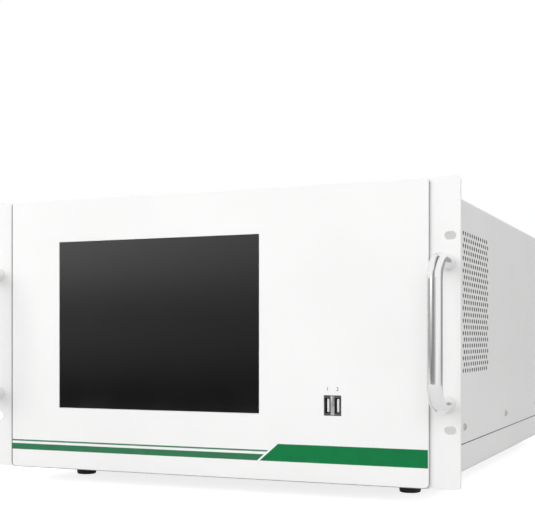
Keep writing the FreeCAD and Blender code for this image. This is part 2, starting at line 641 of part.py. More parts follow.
# Handle: round bar bent twice, tapped at both ends
def make_handle(side, sign):
    body = new_body("handle_" + side)
    low, high = "panel_middle - handle_span / 2", "panel_middle + handle_span / 2"
    root, reach = "panel_plate", "panel_plate - handle_reach"
    section = sketch_on(body, "BarSection", "XZ_Plane", root)
    circle(section, f"{sign} * handle_across", low, "handle_bar / 2")
    path = sketch_on(body, "BarPath", "YZ_Plane", f"{sign} * handle_across")
    bend = number_of("handle_bend")
    stops = [(root, low), (f"{reach} + handle_bend", low), (reach, f"{low} + handle_bend"),
             (reach, f"{high} - handle_bend"), (f"{reach} + handle_bend", high), (root, high)]
    spots = [FreeCAD.Vector(number_of(right), number_of(up), 0) for right, up in stops]
    turn = FreeCAD.Vector(0, 0, 1)
    lower = Part.Circle(FreeCAD.Vector(spots[1].x, spots[2].y, 0), turn, bend)
    upper = Part.Circle(FreeCAD.Vector(spots[4].x, spots[3].y, 0), turn, bend)
    path.addGeometry(Part.LineSegment(spots[0], spots[1]), False)
    path.addGeometry(Part.ArcOfCircle(lower, math.pi, 1.5 * math.pi), False)
    path.addGeometry(Part.LineSegment(spots[2], spots[3]), False)
    path.addGeometry(Part.ArcOfCircle(upper, 0.5 * math.pi, math.pi), False)
    path.addGeometry(Part.LineSegment(spots[4], spots[5]), False)
    for edge, end, other, start in ((0, 2, 1, 2), (1, 1, 2, 1), (2, 2, 3, 2), (3, 1, 4, 1)):
        path.addConstraint(Sketcher.Constraint("Coincident", edge, end, other, start))
    for edge, end, stop in ((0, 1, 0), (0, 2, 1), (2, 1, 2), (2, 2, 3), (4, 1, 4), (4, 2, 5)):
        fix_point(path, edge, end, *stops[stop])
    for arc in (1, 3):
        sized_by = path.addConstraint(Sketcher.Constraint("Radius", arc, bend))
        path.setExpression(f"Constraints[{sized_by}]", sized("handle_bend"))
    bar = body.newObject("PartDesign::AdditivePipe", "Bar")
    bar.Profile = section
    bar.Spine = path
    document.recompute()
    holes = sketch_on(body, "BarHoles", "XZ_Plane", root)
    for level in (low, high):
        screw_hole(holes, f"{sign} * handle_across", level, "bolt_radius")
    pocket(body, holes, "handle_screw_hole", flip=True)
    deliver(body, "handle_" + side)


# Base tray: floor with low sides, joggled in at the seam to carry the cover
def make_base_tray():
    body = new_body("base_tray")
    profile = sketch_on(body, "TrayProfile", "XZ_Plane", "case_front")
    east = [("half_width", "foot_height"), ("half_width", "seam_level"), ("lip_face", "seam_level"),
            ("lip_face", "seam_level + lip_rise"),
            ("lip_face - sheet_wall", "seam_level + lip_rise"),
            ("lip_face - sheet_wall", "seam_level - sheet_wall"),
            ("wall_inside", "seam_level - sheet_wall"), ("wall_inside", "floor_top")]
    west = [(f"-({right})", high) for right, high in reversed(east)]
    outline(profile, east + west)
    pad(body, profile, "case_rear - case_front", rearward=True)
    half, low = number_of("half_width"), number_of("foot_height")
    round_edges(body, "case_corner", lambda box: box.YLength > 1 and near(abs(box.XMin), half)
                and near(box.ZMax, low))
    flange = sketch_on(body, "TrayFlange", "XZ_Plane", "case_rear - sheet_wall")
    rectangle(flange, "flange_inset - wall_inside", "foot_height + sheet_wall / 2",
              "wall_inside - flange_inset", "foot_height + flange_rise")
    pad(body, flange, "sheet_wall", rearward=True)
    cut_side_holes(body, "TraySideHole")
    cut_rear_holes(body, "TrayRearHoles", "rear_screw_low")
    floor = sketch_on(body, "FootHoles", "XY_Plane")
    for across, along in foot_places():
        screw_hole(floor, across, along)
    pocket(body, floor)
    deliver(body, "base_tray")


def cut_side_holes(body, name):
    """The row of screw holes that the cover and the tray share."""
    hole = sketch_on(body, name, "YZ_Plane")
    screw_hole(hole, "screw_first", "seam_level + screw_rise")
    first = pocket(body, hole)
    row = body.newObject("PartDesign::LinearPattern", name + "Row")
    row.Originals = [first]
    row.Direction = (hole, ["H_Axis"])
    bind(row, Length="screw_pitch * (screw_count - 1)", Occurrences="screw_count")
    body.Tip = row
    document.recompute()


def cut_rear_holes(body, name, level):
    """Three screw holes for the rear panel at one level."""
    holes = sketch_on(body, name, "XZ_Plane", "case_depth")
    for across in ("-rear_screw_spread", "0", "rear_screw_spread"):
        screw_hole(holes, across, level)
    pocket(body, holes)


def foot_places():
    """The four feet: across and along."""
    return [(across, along) for along in ("foot_inset", "case_depth - foot_inset")
            for across in ("-foot_across", "foot_across")]


# Case cover: one sheet folded over the top and both sides, with rows of vent holes in the right
# side. The holes lie in alternate rows, each row half a pitch from the next.
def make_case_cover():
    body = new_body("case_cover")
    profile = sketch_on(body, "CoverProfile", "XZ_Plane", "case_front")
    low = "seam_level + seam_gap"
    outline(profile, [("half_width", low), ("half_width", "case_top"), ("-half_width", "case_top"),
                      ("-half_width", low), ("-wall_inside", low), ("-wall_inside", "roof_under"),
                      ("wall_inside", "roof_under"), ("wall_inside", low)])
    pad(body, profile, "case_rear - case_front", rearward=True)
    half, top = number_of("half_width"), number_of("case_top")
    round_edges(body, "case_corner", lambda box: box.YLength > 1 and near(abs(box.XMin), half)
                and near(box.ZMin, top))
    flange = sketch_on(body, "CoverFlange", "XZ_Plane", "case_rear - sheet_wall")
    rectangle(flange, "flange_inset - wall_inside", "case_top - flange_rise",
              "wall_inside - flange_inset", "case_top - sheet_wall / 2")
    pad(body, flange, "sheet_wall", rearward=True)
    cut_side_holes(body, "CoverSideHole")
    cut_rear_holes(body, "CoverRearHoles", "rear_screw_high")

    columns, rows = int(number_of("vent_columns")), int(number_of("vent_rows"))
    front = "vent_first - vent_margin"
    back = f"vent_first + {columns - 1} * vent_pitch + vent_pitch / 2 + vent_margin"
    window = sketch_on(body, "VentWindow", "YZ_Plane", "half_width")
    rectangle(window, front, f"vent_high - {rows} * vent_row", back, "vent_high")
    pocket(body, window, "sheet_wall")
    for name, first_row, shift in (("VentEven", 0, "0"), ("VentOdd", 1, "vent_pitch / 2")):
        strip = sketch_on(body, name, "YZ_Plane", "wall_inside")
        high = f"vent_high - {first_row} * vent_row"
        rectangle(strip, front, f"{high} - vent_row", back, high)
        for column in range(columns):
            polygon(strip, f"vent_first + {column} * vent_pitch + {shift}",
                    f"{high} - vent_row / 2", "vent_flats")
        punched = pad(body, strip, "sheet_wall")
        punched.Refine = False
        copies = (rows + 1 - first_row) // 2
        stack = body.newObject("PartDesign::LinearPattern", name + "Rows")
        stack.Originals = [punched]
        stack.Direction = (strip, ["V_Axis"])
        stack.Reversed = True
        bind(stack, Length=f"2 * vent_row * {copies - 1}")
        stack.Occurrences = copies
        stack.Refine = False
        body.Tip = stack
        document.recompute()
    deliver(body, "case_cover")


# Screws of the cover: three on each side, just above the seam
def make_cover_screws():
    for side, sign in (("West", "-1"), ("East", "1")):
        for index in range(int(number_of("screw_count"))):
            case_screws.append(screw(f"CoverScrew{side}{index}", "x", f"{sign} * half_width",
                                     f"screw_first + {index} * screw_pitch",
                                     "seam_level + screw_rise", int(sign)))


# Feet: round rubber feet with a bevelled rim, each held by a screw sunk in its underside
def make_feet():
    names = ("foot_front_left", "foot_front_right", "foot_rear_left", "foot_rear_right")
    screws = []
    for name, (across, along) in zip(names, foot_places()):
        body = new_body(name)
        profile = sketch_on(body, "FootProfile", "XZ_Plane")
        outline(profile, [("0", "0"), ("foot_top / 2 - foot_edge", "0"),
                          ("foot_top / 2", "foot_edge"), ("foot_top / 2", "foot_height"),
                          ("0", "foot_height")])
        revolve(body, profile, "V_Axis")
        recess = sketch_on(body, "FootRecess", "XY_Plane")
        screw_hole(recess, "0", "0", "foot_recess / 2")
        pocket(body, recess, "foot_recess_rise", flip=True)
        hole = sketch_on(body, "FootScrewHole", "XY_Plane")
        screw_hole(hole, "0", "0")
        pocket(body, hole)
        deliver(body, name, across, along)
        head = small_rod(name + "Head", "screw_head", "screw_head_height", "z", across, along,
                         "foot_recess_rise - screw_head_height")
        shank = small_rod(name + "Shank", "screw_radius", "floor_top - foot_recess_rise", "z",
                          across, along, "foot_recess_rise")
        screws.append(joined(name + "Screw", [head, shank]))
    deliver(group("foot_screws", screws), "foot_screws")


# Rear panel: plate that closes the case, with the openings of all that it carries
def make_rear_panel():
    body = new_body("rear_panel")
    face = sketch_on(body, "RearFace", "XZ_Plane", "rear_inside")
    rectangle(face, "-half_width", "foot_height", "half_width", "case_top")
    pad(body, face, "rear_plate", rearward=True)
    half = number_of("half_width")
    round_edges(body, "case_corner", lambda box: box.YLength > 1 and near(abs(box.XMin), half))
    openings = sketch_on(body, "RearOpenings", "XZ_Plane", "case_depth")
    box_outline(openings, "inlet_across", "inlet_level", "inlet_body_width + 2 * hole_gap",
                "inlet_body_height + 2 * hole_gap")
    box_outline(openings, "switch_across", "inlet_level",
                "rocker_width + 2 * (switch_gap + sheet_wall + hole_gap)",
                "rocker_length + 2 * (switch_end_gap + sheet_wall + hole_gap)")
    box_outline(openings, "-network_across", "data_level", "network_width + 2 * hole_gap",
                "network_height + 2 * hole_gap")
    box_outline(openings, "-serial_across", "data_level",
                "serial_shell_width + 2 * hole_gap", "serial_shell_height + 2 * hole_gap")
    circle(openings, "rear_fan_across", "rear_fan_level", "rear_fan_size / 2 - fan_rim")
    screw_hole(openings, "stud_across", "inlet_level", "stud_radius")
    for index in range(int(number_of("fitting_count"))):
        screw_hole(openings, f"{index} * fitting_pitch - fitting_across", "fitting_level",
                   "fitting_shank")
    pocket(body, openings)
    for name, level in (("RearHolesLow", "rear_screw_low"), ("RearHolesHigh", "rear_screw_high")):
        cut_rear_holes(body, name, level)
    deliver(body, "rear_panel")

    for row, level in (("Low", "rear_screw_low"), ("High", "rear_screw_high")):
        for column, across in enumerate(("-rear_screw_spread", "0", "rear_screw_spread")):
            case_screws.append(screw(f"RearScrew{row}{column}", "y", across, "case_depth", level))


# Mains inlet: moulded flange and body with a recess that holds three contact blades
def make_power_inlet():
    body = new_body("power_inlet")
    flange = sketch_on(body, "InletFlange", "XZ_Plane", "case_depth")
    box_outline(flange, "inlet_across", "inlet_level", "inlet_flange_width", "inlet_flange_height")
    pad(body, flange, "inlet_flange_plate", rearward=True)
    barrel = sketch_on(body, "InletBarrel", "XZ_Plane", "case_depth")
    box_outline(barrel, "inlet_across", "inlet_level", "inlet_body_width", "inlet_body_height")
    pad(body, barrel, "inlet_body_depth")
    recess = sketch_on(body, "InletRecess", "XZ_Plane", "case_depth + inlet_flange_plate")
    half, tall = "inlet_recess_width / 2", "inlet_recess_height / 2"
    outline(recess, [
        (f"inlet_across - {half}", f"inlet_level - {tall}"),
        (f"inlet_across + {half}", f"inlet_level - {tall}"),
        (f"inlet_across + {half}", f"inlet_level + {tall} - inlet_chamfer"),
        (f"inlet_across + {half} - inlet_chamfer", f"inlet_level + {tall}"),
        (f"inlet_across - {half} + inlet_chamfer", f"inlet_level + {tall}"),
        (f"inlet_across - {half}", f"inlet_level + {tall} - inlet_chamfer")])
    pocket(body, recess, "inlet_recess_depth", flip=True)
    floor = "case_depth + inlet_flange_plate - inlet_recess_depth"
    blades = sketch_on(body, "InletBlades", "XZ_Plane", floor)
    for across, up in (("-blade_pitch / 2", "-blade_step / 2"), ("0", "blade_step / 2"),
                       ("blade_pitch / 2", "-blade_step / 2")):
        box_outline(blades, f"inlet_across + {across}", f"inlet_level + {up}",
                    "blade_width", "blade_height")
    pad(body, blades, "blade_length", rearward=True)
    deliver(body, "power_inlet")


# Mains switch: frame in the rear panel, and a rocker that tips about a level axis
def make_switch():
    body = new_body("switch_frame")
    lip = sketch_on(body, "SwitchLip", "XZ_Plane", "case_depth")
    box_outline(lip, "switch_across", "inlet_level", "switch_width", "switch_height")
    pad(body, lip, "switch_lip", rearward=True)
    barrel = sketch_on(body, "SwitchBarrel", "XZ_Plane", "case_depth")
    box_outline(barrel, "switch_across", "inlet_level",
                "rocker_width + 2 * (switch_gap + sheet_wall)",
                "rocker_length + 2 * (switch_end_gap + sheet_wall)")
    pad(body, barrel, "switch_depth")
    mouth = sketch_on(body, "SwitchMouth", "XZ_Plane", "case_depth + switch_lip")
    box_outline(mouth, "switch_across", "inlet_level", "rocker_width + 2 * switch_gap",
                "rocker_length + 2 * switch_end_gap")
    pocket(body, mouth, "switch_lip + switch_depth - sheet_wall", flip=True)
    deliver(body, "switch_frame")

    rocker = new_body("power_rocker")
    side = sketch_on(rocker, "RockerSide", "YZ_Plane", "-rocker_width / 2")
    corners = [("rocker_horn", "rocker_length / 2"), ("rocker_valley", "0"),
               ("rocker_horn", "-rocker_length / 2"), ("0", "-rocker_length / 2"),
               ("-rocker_root", "-rocker_root"), ("-rocker_root", "rocker_root"),
               ("0", "rocker_length / 2")]
    tilted = [(f"({out}) * cos(rocker_tilt) - ({high}) * sin(rocker_tilt)",
               f"({out}) * sin(rocker_tilt) + ({high}) * cos(rocker_tilt)")
              for out, high in corners]
    outline(side, tilted)
    pad(rocker, side, "rocker_width")
    deliver(rocker, "power_rocker", "switch_across", "case_depth", "inlet_level")


# Fans: square frame with struts and a motor seat, and a rotor of slanted, cambered blades.
# A fan is drawn about its own axis, Z, with the air inlet side at the top.
def fan_frame(label, size, across, along, up, turn):
    half = f"({size}) / 2"
    plate = block(label + "Plate", size, size, "fan_depth")
    throat = rod(label + "Throat", f"{half} - fan_rim", "fan_depth")
    duct = cut_from(label + "Duct", plate, throat)
    seat = rod(label + "Seat", f"({size}) * fan_hub_share", "fan_motor_plate")
    struts = [block(label + "StrutAcross", f"{size} - 2 * fan_rim", "fan_strut", "fan_motor_plate"),
              block(label + "StrutAlong", "fan_strut", f"{size} - 2 * fan_rim", "fan_motor_plate")]
    frame = joined(label, [duct, seat] + struts)
    frame.Placement = FreeCAD.Placement(FreeCAD.Vector(), turn)
    deliver(frame, label, across, along, up)


def fan_rotor(label, size, across, along, up, turn):
    """Hub and blades. A blade's section is drawn from the side and padded outwards from the hub."""
    body = new_body(label)
    hub = sketch_on(body, label + "_hub", "XY_Plane", "fan_motor_plate + fit_gap")
    circle(hub, "0", "0", f"({size}) * fan_hub_share")
    pad(body, hub, "fan_depth - fan_motor_plate - 3 * fit_gap")
    blade = sketch_on(body, label + "_blade", "YZ_Plane")
    sweep = f"({size}) * fan_blade_sweep / 2"
    low = "fan_motor_plate + fit_gap + fan_blade_margin"
    high = "fan_depth - 2 * fit_gap - fan_blade_margin"
    spine = [(f"-{sweep}", low), ("-fan_blade_camber", f"({low} + {high}) / 2"), (sweep, high)]
    face = [(f"{right} - fan_blade_plate", level) for right, level in spine]
    outline(blade, spine + face[::-1])
    tip = f"(({size}) / 2 - fan_rim - fan_tip_gap)"
    corner = f"({sweep} + fan_blade_plate)"
    first = pad(body, blade, f"sqrt({tip} * {tip} - {corner} * {corner})")
    ring = body.newObject("PartDesign::PolarPattern", label + "_blades")
    ring.Originals = [first]
    ring.Axis = (hub, ["N_Axis"])
    ring.Angle = 360
    bind(ring, Occurrences="fan_blades")
    body.Tip = ring
    document.recompute()
    body.Placement = FreeCAD.Placement(FreeCAD.Vector(), turn)
    deliver(body, label, across, along, up)


def make_fans():
    to_rear = FreeCAD.Rotation(FreeCAD.Vector(1, 0, 0), -90)
    to_side = FreeCAD.Rotation(FreeCAD.Vector(0, 1, 0), 90)
    rear = ("rear_fan_size", "rear_fan_across", "rear_inside - fan_depth", "rear_fan_level", to_rear)
    side = ("side_fan_size", "wall_inside - fit_gap - fan_depth", "side_fan_along",
            "side_fan_level", to_side)
    for where, spot in (("rear", rear), ("side", side)):
        fan_frame(f"{where}_fan_frame", *spot)
        fan_rotor(f"{where}_fan_rotor", *spot)

    rings = []
    for index in range(1, int(number_of("guard_rings")) + 1):
        outer = rod(f"GuardOuter{index}", f"{index} * guard_pitch + guard_bar / 2", "guard_bar",
                    "y", "0", "guard_stand")
        inner = rod(f"GuardInner{index}", f"{index} * guard_pitch - guard_bar / 2", "guard_bar",
                    "y", "0", "guard_stand")
        rings.append(cut_from(f"GuardRing{index}", outer, inner))
    rings.append(block("GuardBarAcross", "rear_fan_size", "guard_bar", "guard_bar", "0",
                       "guard_stand + guard_bar / 2", "-guard_bar / 2"))
    rings.append(block("GuardBarUp", "guard_bar", "guard_bar", "rear_fan_size", "0",
                       "guard_stand + guard_bar / 2", "-rear_fan_size / 2"))
    for name, across, up in (("West", "-1", "0"), ("East", "1", "0"), ("Low", "0", "-1"),
                             ("High", "0", "1")):
        rings.append(block("GuardFoot" + name, "2 * guard_bar", "guard_stand + guard_bar",
                           "2 * guard_bar", f"{across} * rear_fan_size / 2",
                           "(guard_stand + guard_bar) / 2",
                           f"{up} * rear_fan_size / 2 - guard_bar"))
    deliver(joined("rear_fan_guard", rings), "rear_fan_guard", "rear_fan_across", "case_depth",
            "rear_fan_level")


# Gas fittings: four bulkhead unions through the rear panel, each with a nut inside
def make_gas_fittings():
    unions = []
    nuts = []
    for index in range(int(number_of("fitting_count"))):
        spot = (f"{index} * fitting_pitch - fitting_across", "fitting_level")

        def bar(make, name, size, start, length):
            return make(f"{name}{index}", size, length, "y", spot[0], start, spot[1])

        body = joined(f"UnionBody{index}", [
            bar(hex_bar, "UnionHex", "fitting_hex", "case_depth", "fitting_hex_plate"),
            bar(rod, "UnionStub", "fitting_stub", "case_depth", "fitting_reach"),
            bar(small_rod, "UnionShank", "fitting_shank", "case_depth - fitting_inside",
                "fitting_inside")])
        bore = bar(small_rod, "UnionBore", "fitting_bore", "case_depth - fitting_inside",
                   "fitting_inside + fitting_reach")
        unions.append(cut_from(f"Union{index}", body, bore))
        nut = bar(hex_bar, "NutHex", "fitting_hex", "rear_inside - fitting_nut_plate",
                  "fitting_nut_plate")
        hole = bar(small_rod, "NutHole", "fitting_shank + hole_gap", "rear_inside - fitting_nut_plate",
                   "fitting_nut_plate")
        nuts.append(cut_from(f"Nut{index}", nut, hole))
    deliver(group("gas_fittings", unions), "gas_fittings")
    deliver(group("fitting_nuts", nuts), "fitting_nuts")


# Sockets and stud: network jack, nine-pin serial plug and grounding stud
def make_rear_sockets():
    jack = new_body("network_socket")
    face = sketch_on(jack, "JackFace", "XZ_Plane", "case_depth + network_proud - network_depth")
    box_outline(face, "-network_across", "data_level", "network_width", "network_height")
    pad(jack, face, "network_depth", rearward=True)
    mouth = sketch_on(jack, "JackMouth", "XZ_Plane", "case_depth + network_proud")
    box_outline(mouth, "-network_across", "data_level", "network_mouth_width",
                "network_mouth_height")
    pocket(jack, mouth, "network_mouth_depth", flip=True)
    deliver(jack, "network_socket")

    plug = new_body("serial_socket")
    flange = sketch_on(plug, "SerialFlange", "XZ_Plane", "case_depth")
    box_outline(flange, "-serial_across", "data_level", "serial_flange_width",
                "serial_flange_height")
    pad(plug, flange, "serial_plate", rearward=True)
    body = sketch_on(plug, "SerialBody", "XZ_Plane", "case_depth - serial_inside")
    box_outline(body, "-serial_across", "data_level", "serial_shell_width", "serial_shell_height")
    pad(plug, body, "serial_inside", rearward=True)
    shell = sketch_on(plug, "SerialShell", "XZ_Plane", "case_depth")
    half, tall = "serial_shell_width / 2", "serial_shell_height / 2"
    outline(shell, [(f"-serial_across - {half} + serial_shell_slant", f"data_level - {tall}"),
                    (f"-serial_across + {half} - serial_shell_slant", f"data_level - {tall}"),
                    (f"-serial_across + {half}", f"data_level + {tall}"),
                    (f"-serial_across - {half}", f"data_level + {tall}")])
    pad(plug, shell, "serial_proud", rearward=True)
    deliver(plug, "serial_socket")

    rodded = rod("StudRod", "stud_radius", "rear_plate + stud_inside + stud_reach", "y",
                 "stud_across", "rear_inside - stud_inside", "inlet_level")
    nut = hex_bar("StudNut", "stud_hex", "stud_hex_plate", "y", "stud_across", "case_depth",
                  "inlet_level")
    inner = hex_bar("StudNutInside", "stud_hex", "stud_hex_plate", "y", "stud_across",
                    "rear_inside - stud_hex_plate", "inlet_level")
    deliver(joined("ground_stud", [rodded, nut, inner]), "ground_stud")


# Column oven: sheet box lined with insulation, a lid, and the wound column on its heated spool
def make_column_oven():
    def tray(label, width, depth, low, high, wall):
        """An open box given by its outside, with one wall thickness all round and below."""
        body = new_body(label)
        base = sketch_on(body, label + "_base", "XY_Plane", low)
        box_outline(base, "-oven_across", "oven_along", width, depth)
        pad(body, base, f"{high} - ({low})")
        hollow = sketch_on(body, label + "_hollow", "XY_Plane", high)
        box_outline(hollow, "-oven_across", "oven_along", f"{width} - 2 * {wall}",
                    f"{depth} - 2 * {wall}")
        pocket(body, hollow, f"{high} - ({low}) - {wall}")
        deliver(body, label)

    tray("oven_case", "oven_width", "oven_depth", "floor_top", "floor_top + oven_height",
         "oven_sheet")
    inner = "2 * (oven_sheet + fit_gap)"
    tray("oven_insulation", f"(oven_width - {inner})", f"(oven_depth - {inner})",
         "floor_top + oven_sheet + fit_gap", "floor_top + oven_height - fit_gap", "oven_wool")

    lid = new_body("oven_lid")
    top = sketch_on(lid, "LidTop", "XY_Plane", "floor_top + oven_height - oven_skirt")
    outside = "2 * (oven_sheet + fit_gap)"
    box_outline(top, "-oven_across", "oven_along", f"oven_width + {outside}",
                f"oven_depth + {outside}")
    pad(lid, top, "oven_skirt + oven_sheet")
    under = sketch_on(lid, "LidUnder", "XY_Plane", "floor_top + oven_height - oven_skirt")
    box_outline(under, "-oven_across", "oven_along", "oven_width + 2 * fit_gap",
                "oven_depth + 2 * fit_gap")
    pocket(lid, under, "oven_skirt", flip=True)
    deliver(lid, "oven_lid")

    deliver(rod("oven_heater", "heater_radius", "heater_plate"), "oven_heater", "-oven_across",
            "oven_along", "oven_floor")

    spool = new_body("column_spool")
    profile = sketch_on(spool, "SpoolProfile", "XZ_Plane")
    outline(profile, [
        ("0", "0"), ("spool_flange", "0"), ("spool_flange", "spool_plate"),
        ("spool_core", "spool_plate"), ("spool_core", "spool_plate + coil_height"),
        ("spool_flange", "spool_plate + coil_height"),
        ("spool_flange", "2 * spool_plate + coil_height"),
        ("0", "2 * spool_plate + coil_height")])
    revolve(spool, profile, "V_Axis")
    deliver(spool, "column_spool", "-oven_across", "oven_along", "oven_floor + heater_plate")

    coil = new_body("column_coil")
    winding = sketch_on(coil, "Winding", "XZ_Plane")
    rectangle(winding, "spool_core + fit_gap", "fit_gap", "coil_outside", "coil_height - fit_gap")
    revolve(coil, winding, "V_Axis")
    deliver(coil, "column_coil", "-oven_across", "oven_along",
            "oven_floor + heater_plate + spool_plate")


# Mobility cell: flanged tube with an insulating sleeve and field rings, the ion source plugged in
# at the front, the amplifier behind, all on two saddles. A short heated line joins it to the oven.
def make_mobility_cell():
    def turned(label, corners, along):
        body = new_body(label)
        profile = sketch_on(body, label + "_profile", "YZ_Plane")
        outline(profile, corners)
        revolve(body, profile, "H_Axis")
        deliver(body, label, "-oven_across", along, "cell_level")

    turned("drift_tube_housing", [
        ("0", "cell_bore"), ("0", "cell_flange"), ("cell_flange_plate", "cell_flange"),
        ("cell_flange_plate", "cell_radius"), ("cell_length - cell_flange_plate", "cell_radius"),
        ("cell_length - cell_flange_plate", "cell_flange"), ("cell_length", "cell_flange"),
        ("cell_length", "cell_bore")], "cell_along")
    sleeve_bore = "cell_bore - fit_gap - sleeve_wall"
    turned("insulator_sleeve", [
        ("source_plug + fit_gap", sleeve_bore), ("source_plug + fit_gap", "cell_bore - fit_gap"),
        ("cell_length - fit_gap", "cell_bore - fit_gap"), ("cell_length - fit_gap", sleeve_bore)],
        "cell_along")

    rings = []
    for index in range(int(number_of("ring_count"))):
        start = f"source_plug + ring_plate + {index} * ring_pitch"
        outer = rod(f"RingOuter{index}", f"{sleeve_bore} - fit_gap", "ring_plate", "y", "0", start)
        inner = rod(f"RingInner{index}", "ring_bore", "ring_plate", "y", "0", start)
        rings.append(cut_from(f"Ring{index}", outer, inner))
    deliver(group("drift_rings", rings), "drift_rings", "-oven_across", "cell_along", "cell_level")

    turned("ion_source", [
        ("-source_length", "0"), ("-source_length", "source_radius"),
        ("-fit_gap - cell_flange_plate / 2", "source_radius"),
        ("-fit_gap - cell_flange_plate / 2", "cell_flange"), ("-fit_gap", "cell_flange"),
        ("-fit_gap", "cell_bore - fit_gap"), ("source_plug", "cell_bore - fit_gap"),
        ("source_plug", "0")], "cell_along")

    deliver(block("amplifier_box", "amplifier_width", "amplifier_depth", "amplifier_height"),
            "amplifier_box", "-oven_across", "cell_along + cell_length + amplifier_depth / 2",
            "floor_top")

    saddles = []
    for index, along in enumerate(("clamp_inset", "cell_length - clamp_inset")):
        foot = block(f"Saddle{index}", "clamp_width", "clamp_depth", "cell_rise", "0", along,
                     "-cell_rise")
        bed = rod(f"SaddleBed{index}", "cell_radius + hole_gap", "cell_length", "y")
        saddles.append(cut_from(f"Clamp{index}", foot, bed))
    deliver(group("tube_clamps", saddles), "tube_clamps", "-oven_across", "cell_along",
            "cell_level")
    deliver(rod("transfer_line", "line_radius", "cell_along - source_length - oven_rear", "y"),
            "transfer_line", "-oven_across", "oven_rear", "cell_level")


# Sample valve: actuator box, six-port valve body on top, rotor with a pointer, and a sample loop
def make_sample_valve():
    spot = ("valve_across", "valve_along")
    deliver(block("valve_actuator", "actuator_size", "actuator_size", "actuator_height"),
            "valve_actuator", *spot, "floor_top")
    stack = rod("ValveStack", "valve_radius", "valve_height")
    bore = rod("ValveBore", "stem_radius + fit_gap", "stem_depth", "z", "0", "0",
               "valve_height - stem_depth")
    ports = []
    for index in range(6):
        port = hex_bar(f"ValvePort{index}", "pointer_width", "pointer_plate", "x")
        angle = f"{60 * index + 30}"
        port.Placement = FreeCAD.Placement(FreeCAD.Vector(), FreeCAD.Rotation(
            FreeCAD.Vector(0, 0, 1), 60 * index + 30) * TURNS["x"])
        reach = "(valve_radius - hole_gap)"
        place(port, f"{reach} * cos({angle})", f"{reach} * sin({angle})", "valve_height / 2")
        ports.append(port)
    solid = cut_from("ValveBored", stack, bore)
    deliver(joined("valve_body", [solid] + ports), "valve_body", *spot,
            "floor_top + actuator_height")

    stem = rod("ValveStem", "stem_radius", "stem_depth - fit_gap + stem_proud")
    hand = block("ValvePointer", "pointer_length", "pointer_width", "pointer_plate",
                 "pointer_length / 2", "0", "stem_depth - fit_gap + stem_proud - pointer_plate")
    deliver(joined("valve_rotor", [stem, hand]), "valve_rotor", *spot,
            "floor_top + actuator_height + valve_height - stem_depth + fit_gap")

    ring = rod("LoopRing", "loop_radius + loop_tube", "2 * loop_tube", "z", "0", "0", "-loop_tube")
    core = rod("LoopCore", "loop_radius - loop_tube", "2 * loop_tube", "z", "0", "0", "-loop_tube")
    ring.Angle = 180
    bend = cut_from("LoopBend", ring, core)
    legs = [block("LoopLeg" + side, "2 * loop_tube", "loop_leg", "2 * loop_tube",
                  f"{sign} * loop_radius", "-loop_leg / 2", "-loop_tube")
            for side, sign in (("West", "-1"), ("East", "1"))]
    deliver(joined("sample_loop", [bend] + legs), "sample_loop", "valve_across",
            "valve_along + (valve_radius + pointer_plate) / 2 + pointer_width / 2 + fit_gap"
            " + loop_leg", "floor_top + actuator_height + valve_height / 2")


# Sample pump: motor block with an open crank chamber, and the crank that turns in it
def make_sample_pump():
    motor = block("PumpBlock", "pump_size", "pump_size", "pump_height")
    chamber = rod("PumpChamber", "crank_chamber", "crank_depth", "z", "0", "0",
                  "pump_height - crank_depth")
    bearing = rod("PumpBearing", "crank_shaft + fit_gap", "crank_bearing + crank_depth", "z",
                  "0", "0", "pump_height - crank_depth - crank_bearing")
    hollow = joined("PumpHollow", [chamber, bearing])
    deliver(cut_from("pump_body", motor, hollow), "pump_body", "pump_across", "pump_along",
            "floor_top")
    shaft = rod("CrankShaft", "crank_shaft", "crank_bearing + crank_plate")
    disc = rod("CrankDisc", "crank_disc", "crank_plate", "z", "crank_throw", "0", "crank_bearing")
    deliver(joined("pump_rotor", [shaft, disc]), "pump_rotor", "pump_across", "pump_along",
            "floor_top + pump_height - crank_depth - crank_bearing + fit_gap")


# Gas supply: two filter cartridges with caps, and a manifold with two pressure regulators
def make_gas_supply():
    cartridges = []
    for index in range(2):
        along = f"{index} * filter_pitch"
        can = rod(f"FilterCan{index}", "filter_radius", "filter_height", "z", "0", along)
        caps = [rod(f"FilterCap{index}{name}", "filter_radius + filter_cap_lip", "filter_cap", "z",
                    "0", along, level)
                for name, level in (("Low", "0"), ("High", "filter_height - filter_cap"))]
        cartridges.append(joined(f"Filter{index}", [can] + caps))
    deliver(group("gas_filters", cartridges), "gas_filters", "-filter_across", "filter_along",
            "floor_top")
    base = block("ManifoldBlock", "manifold_width", "manifold_depth", "manifold_height")
    towers = [rod(f"Regulator{index}", "regulator_radius", "regulator_height", "z",
                  f"{side} * regulator_pitch / 2", "0", "manifold_height")
              for index, side in enumerate(("-1", "1"))]
    deliver(joined("flow_manifold", [base] + towers), "flow_manifold", "-manifold_across",
            "manifold_along", "floor_top")


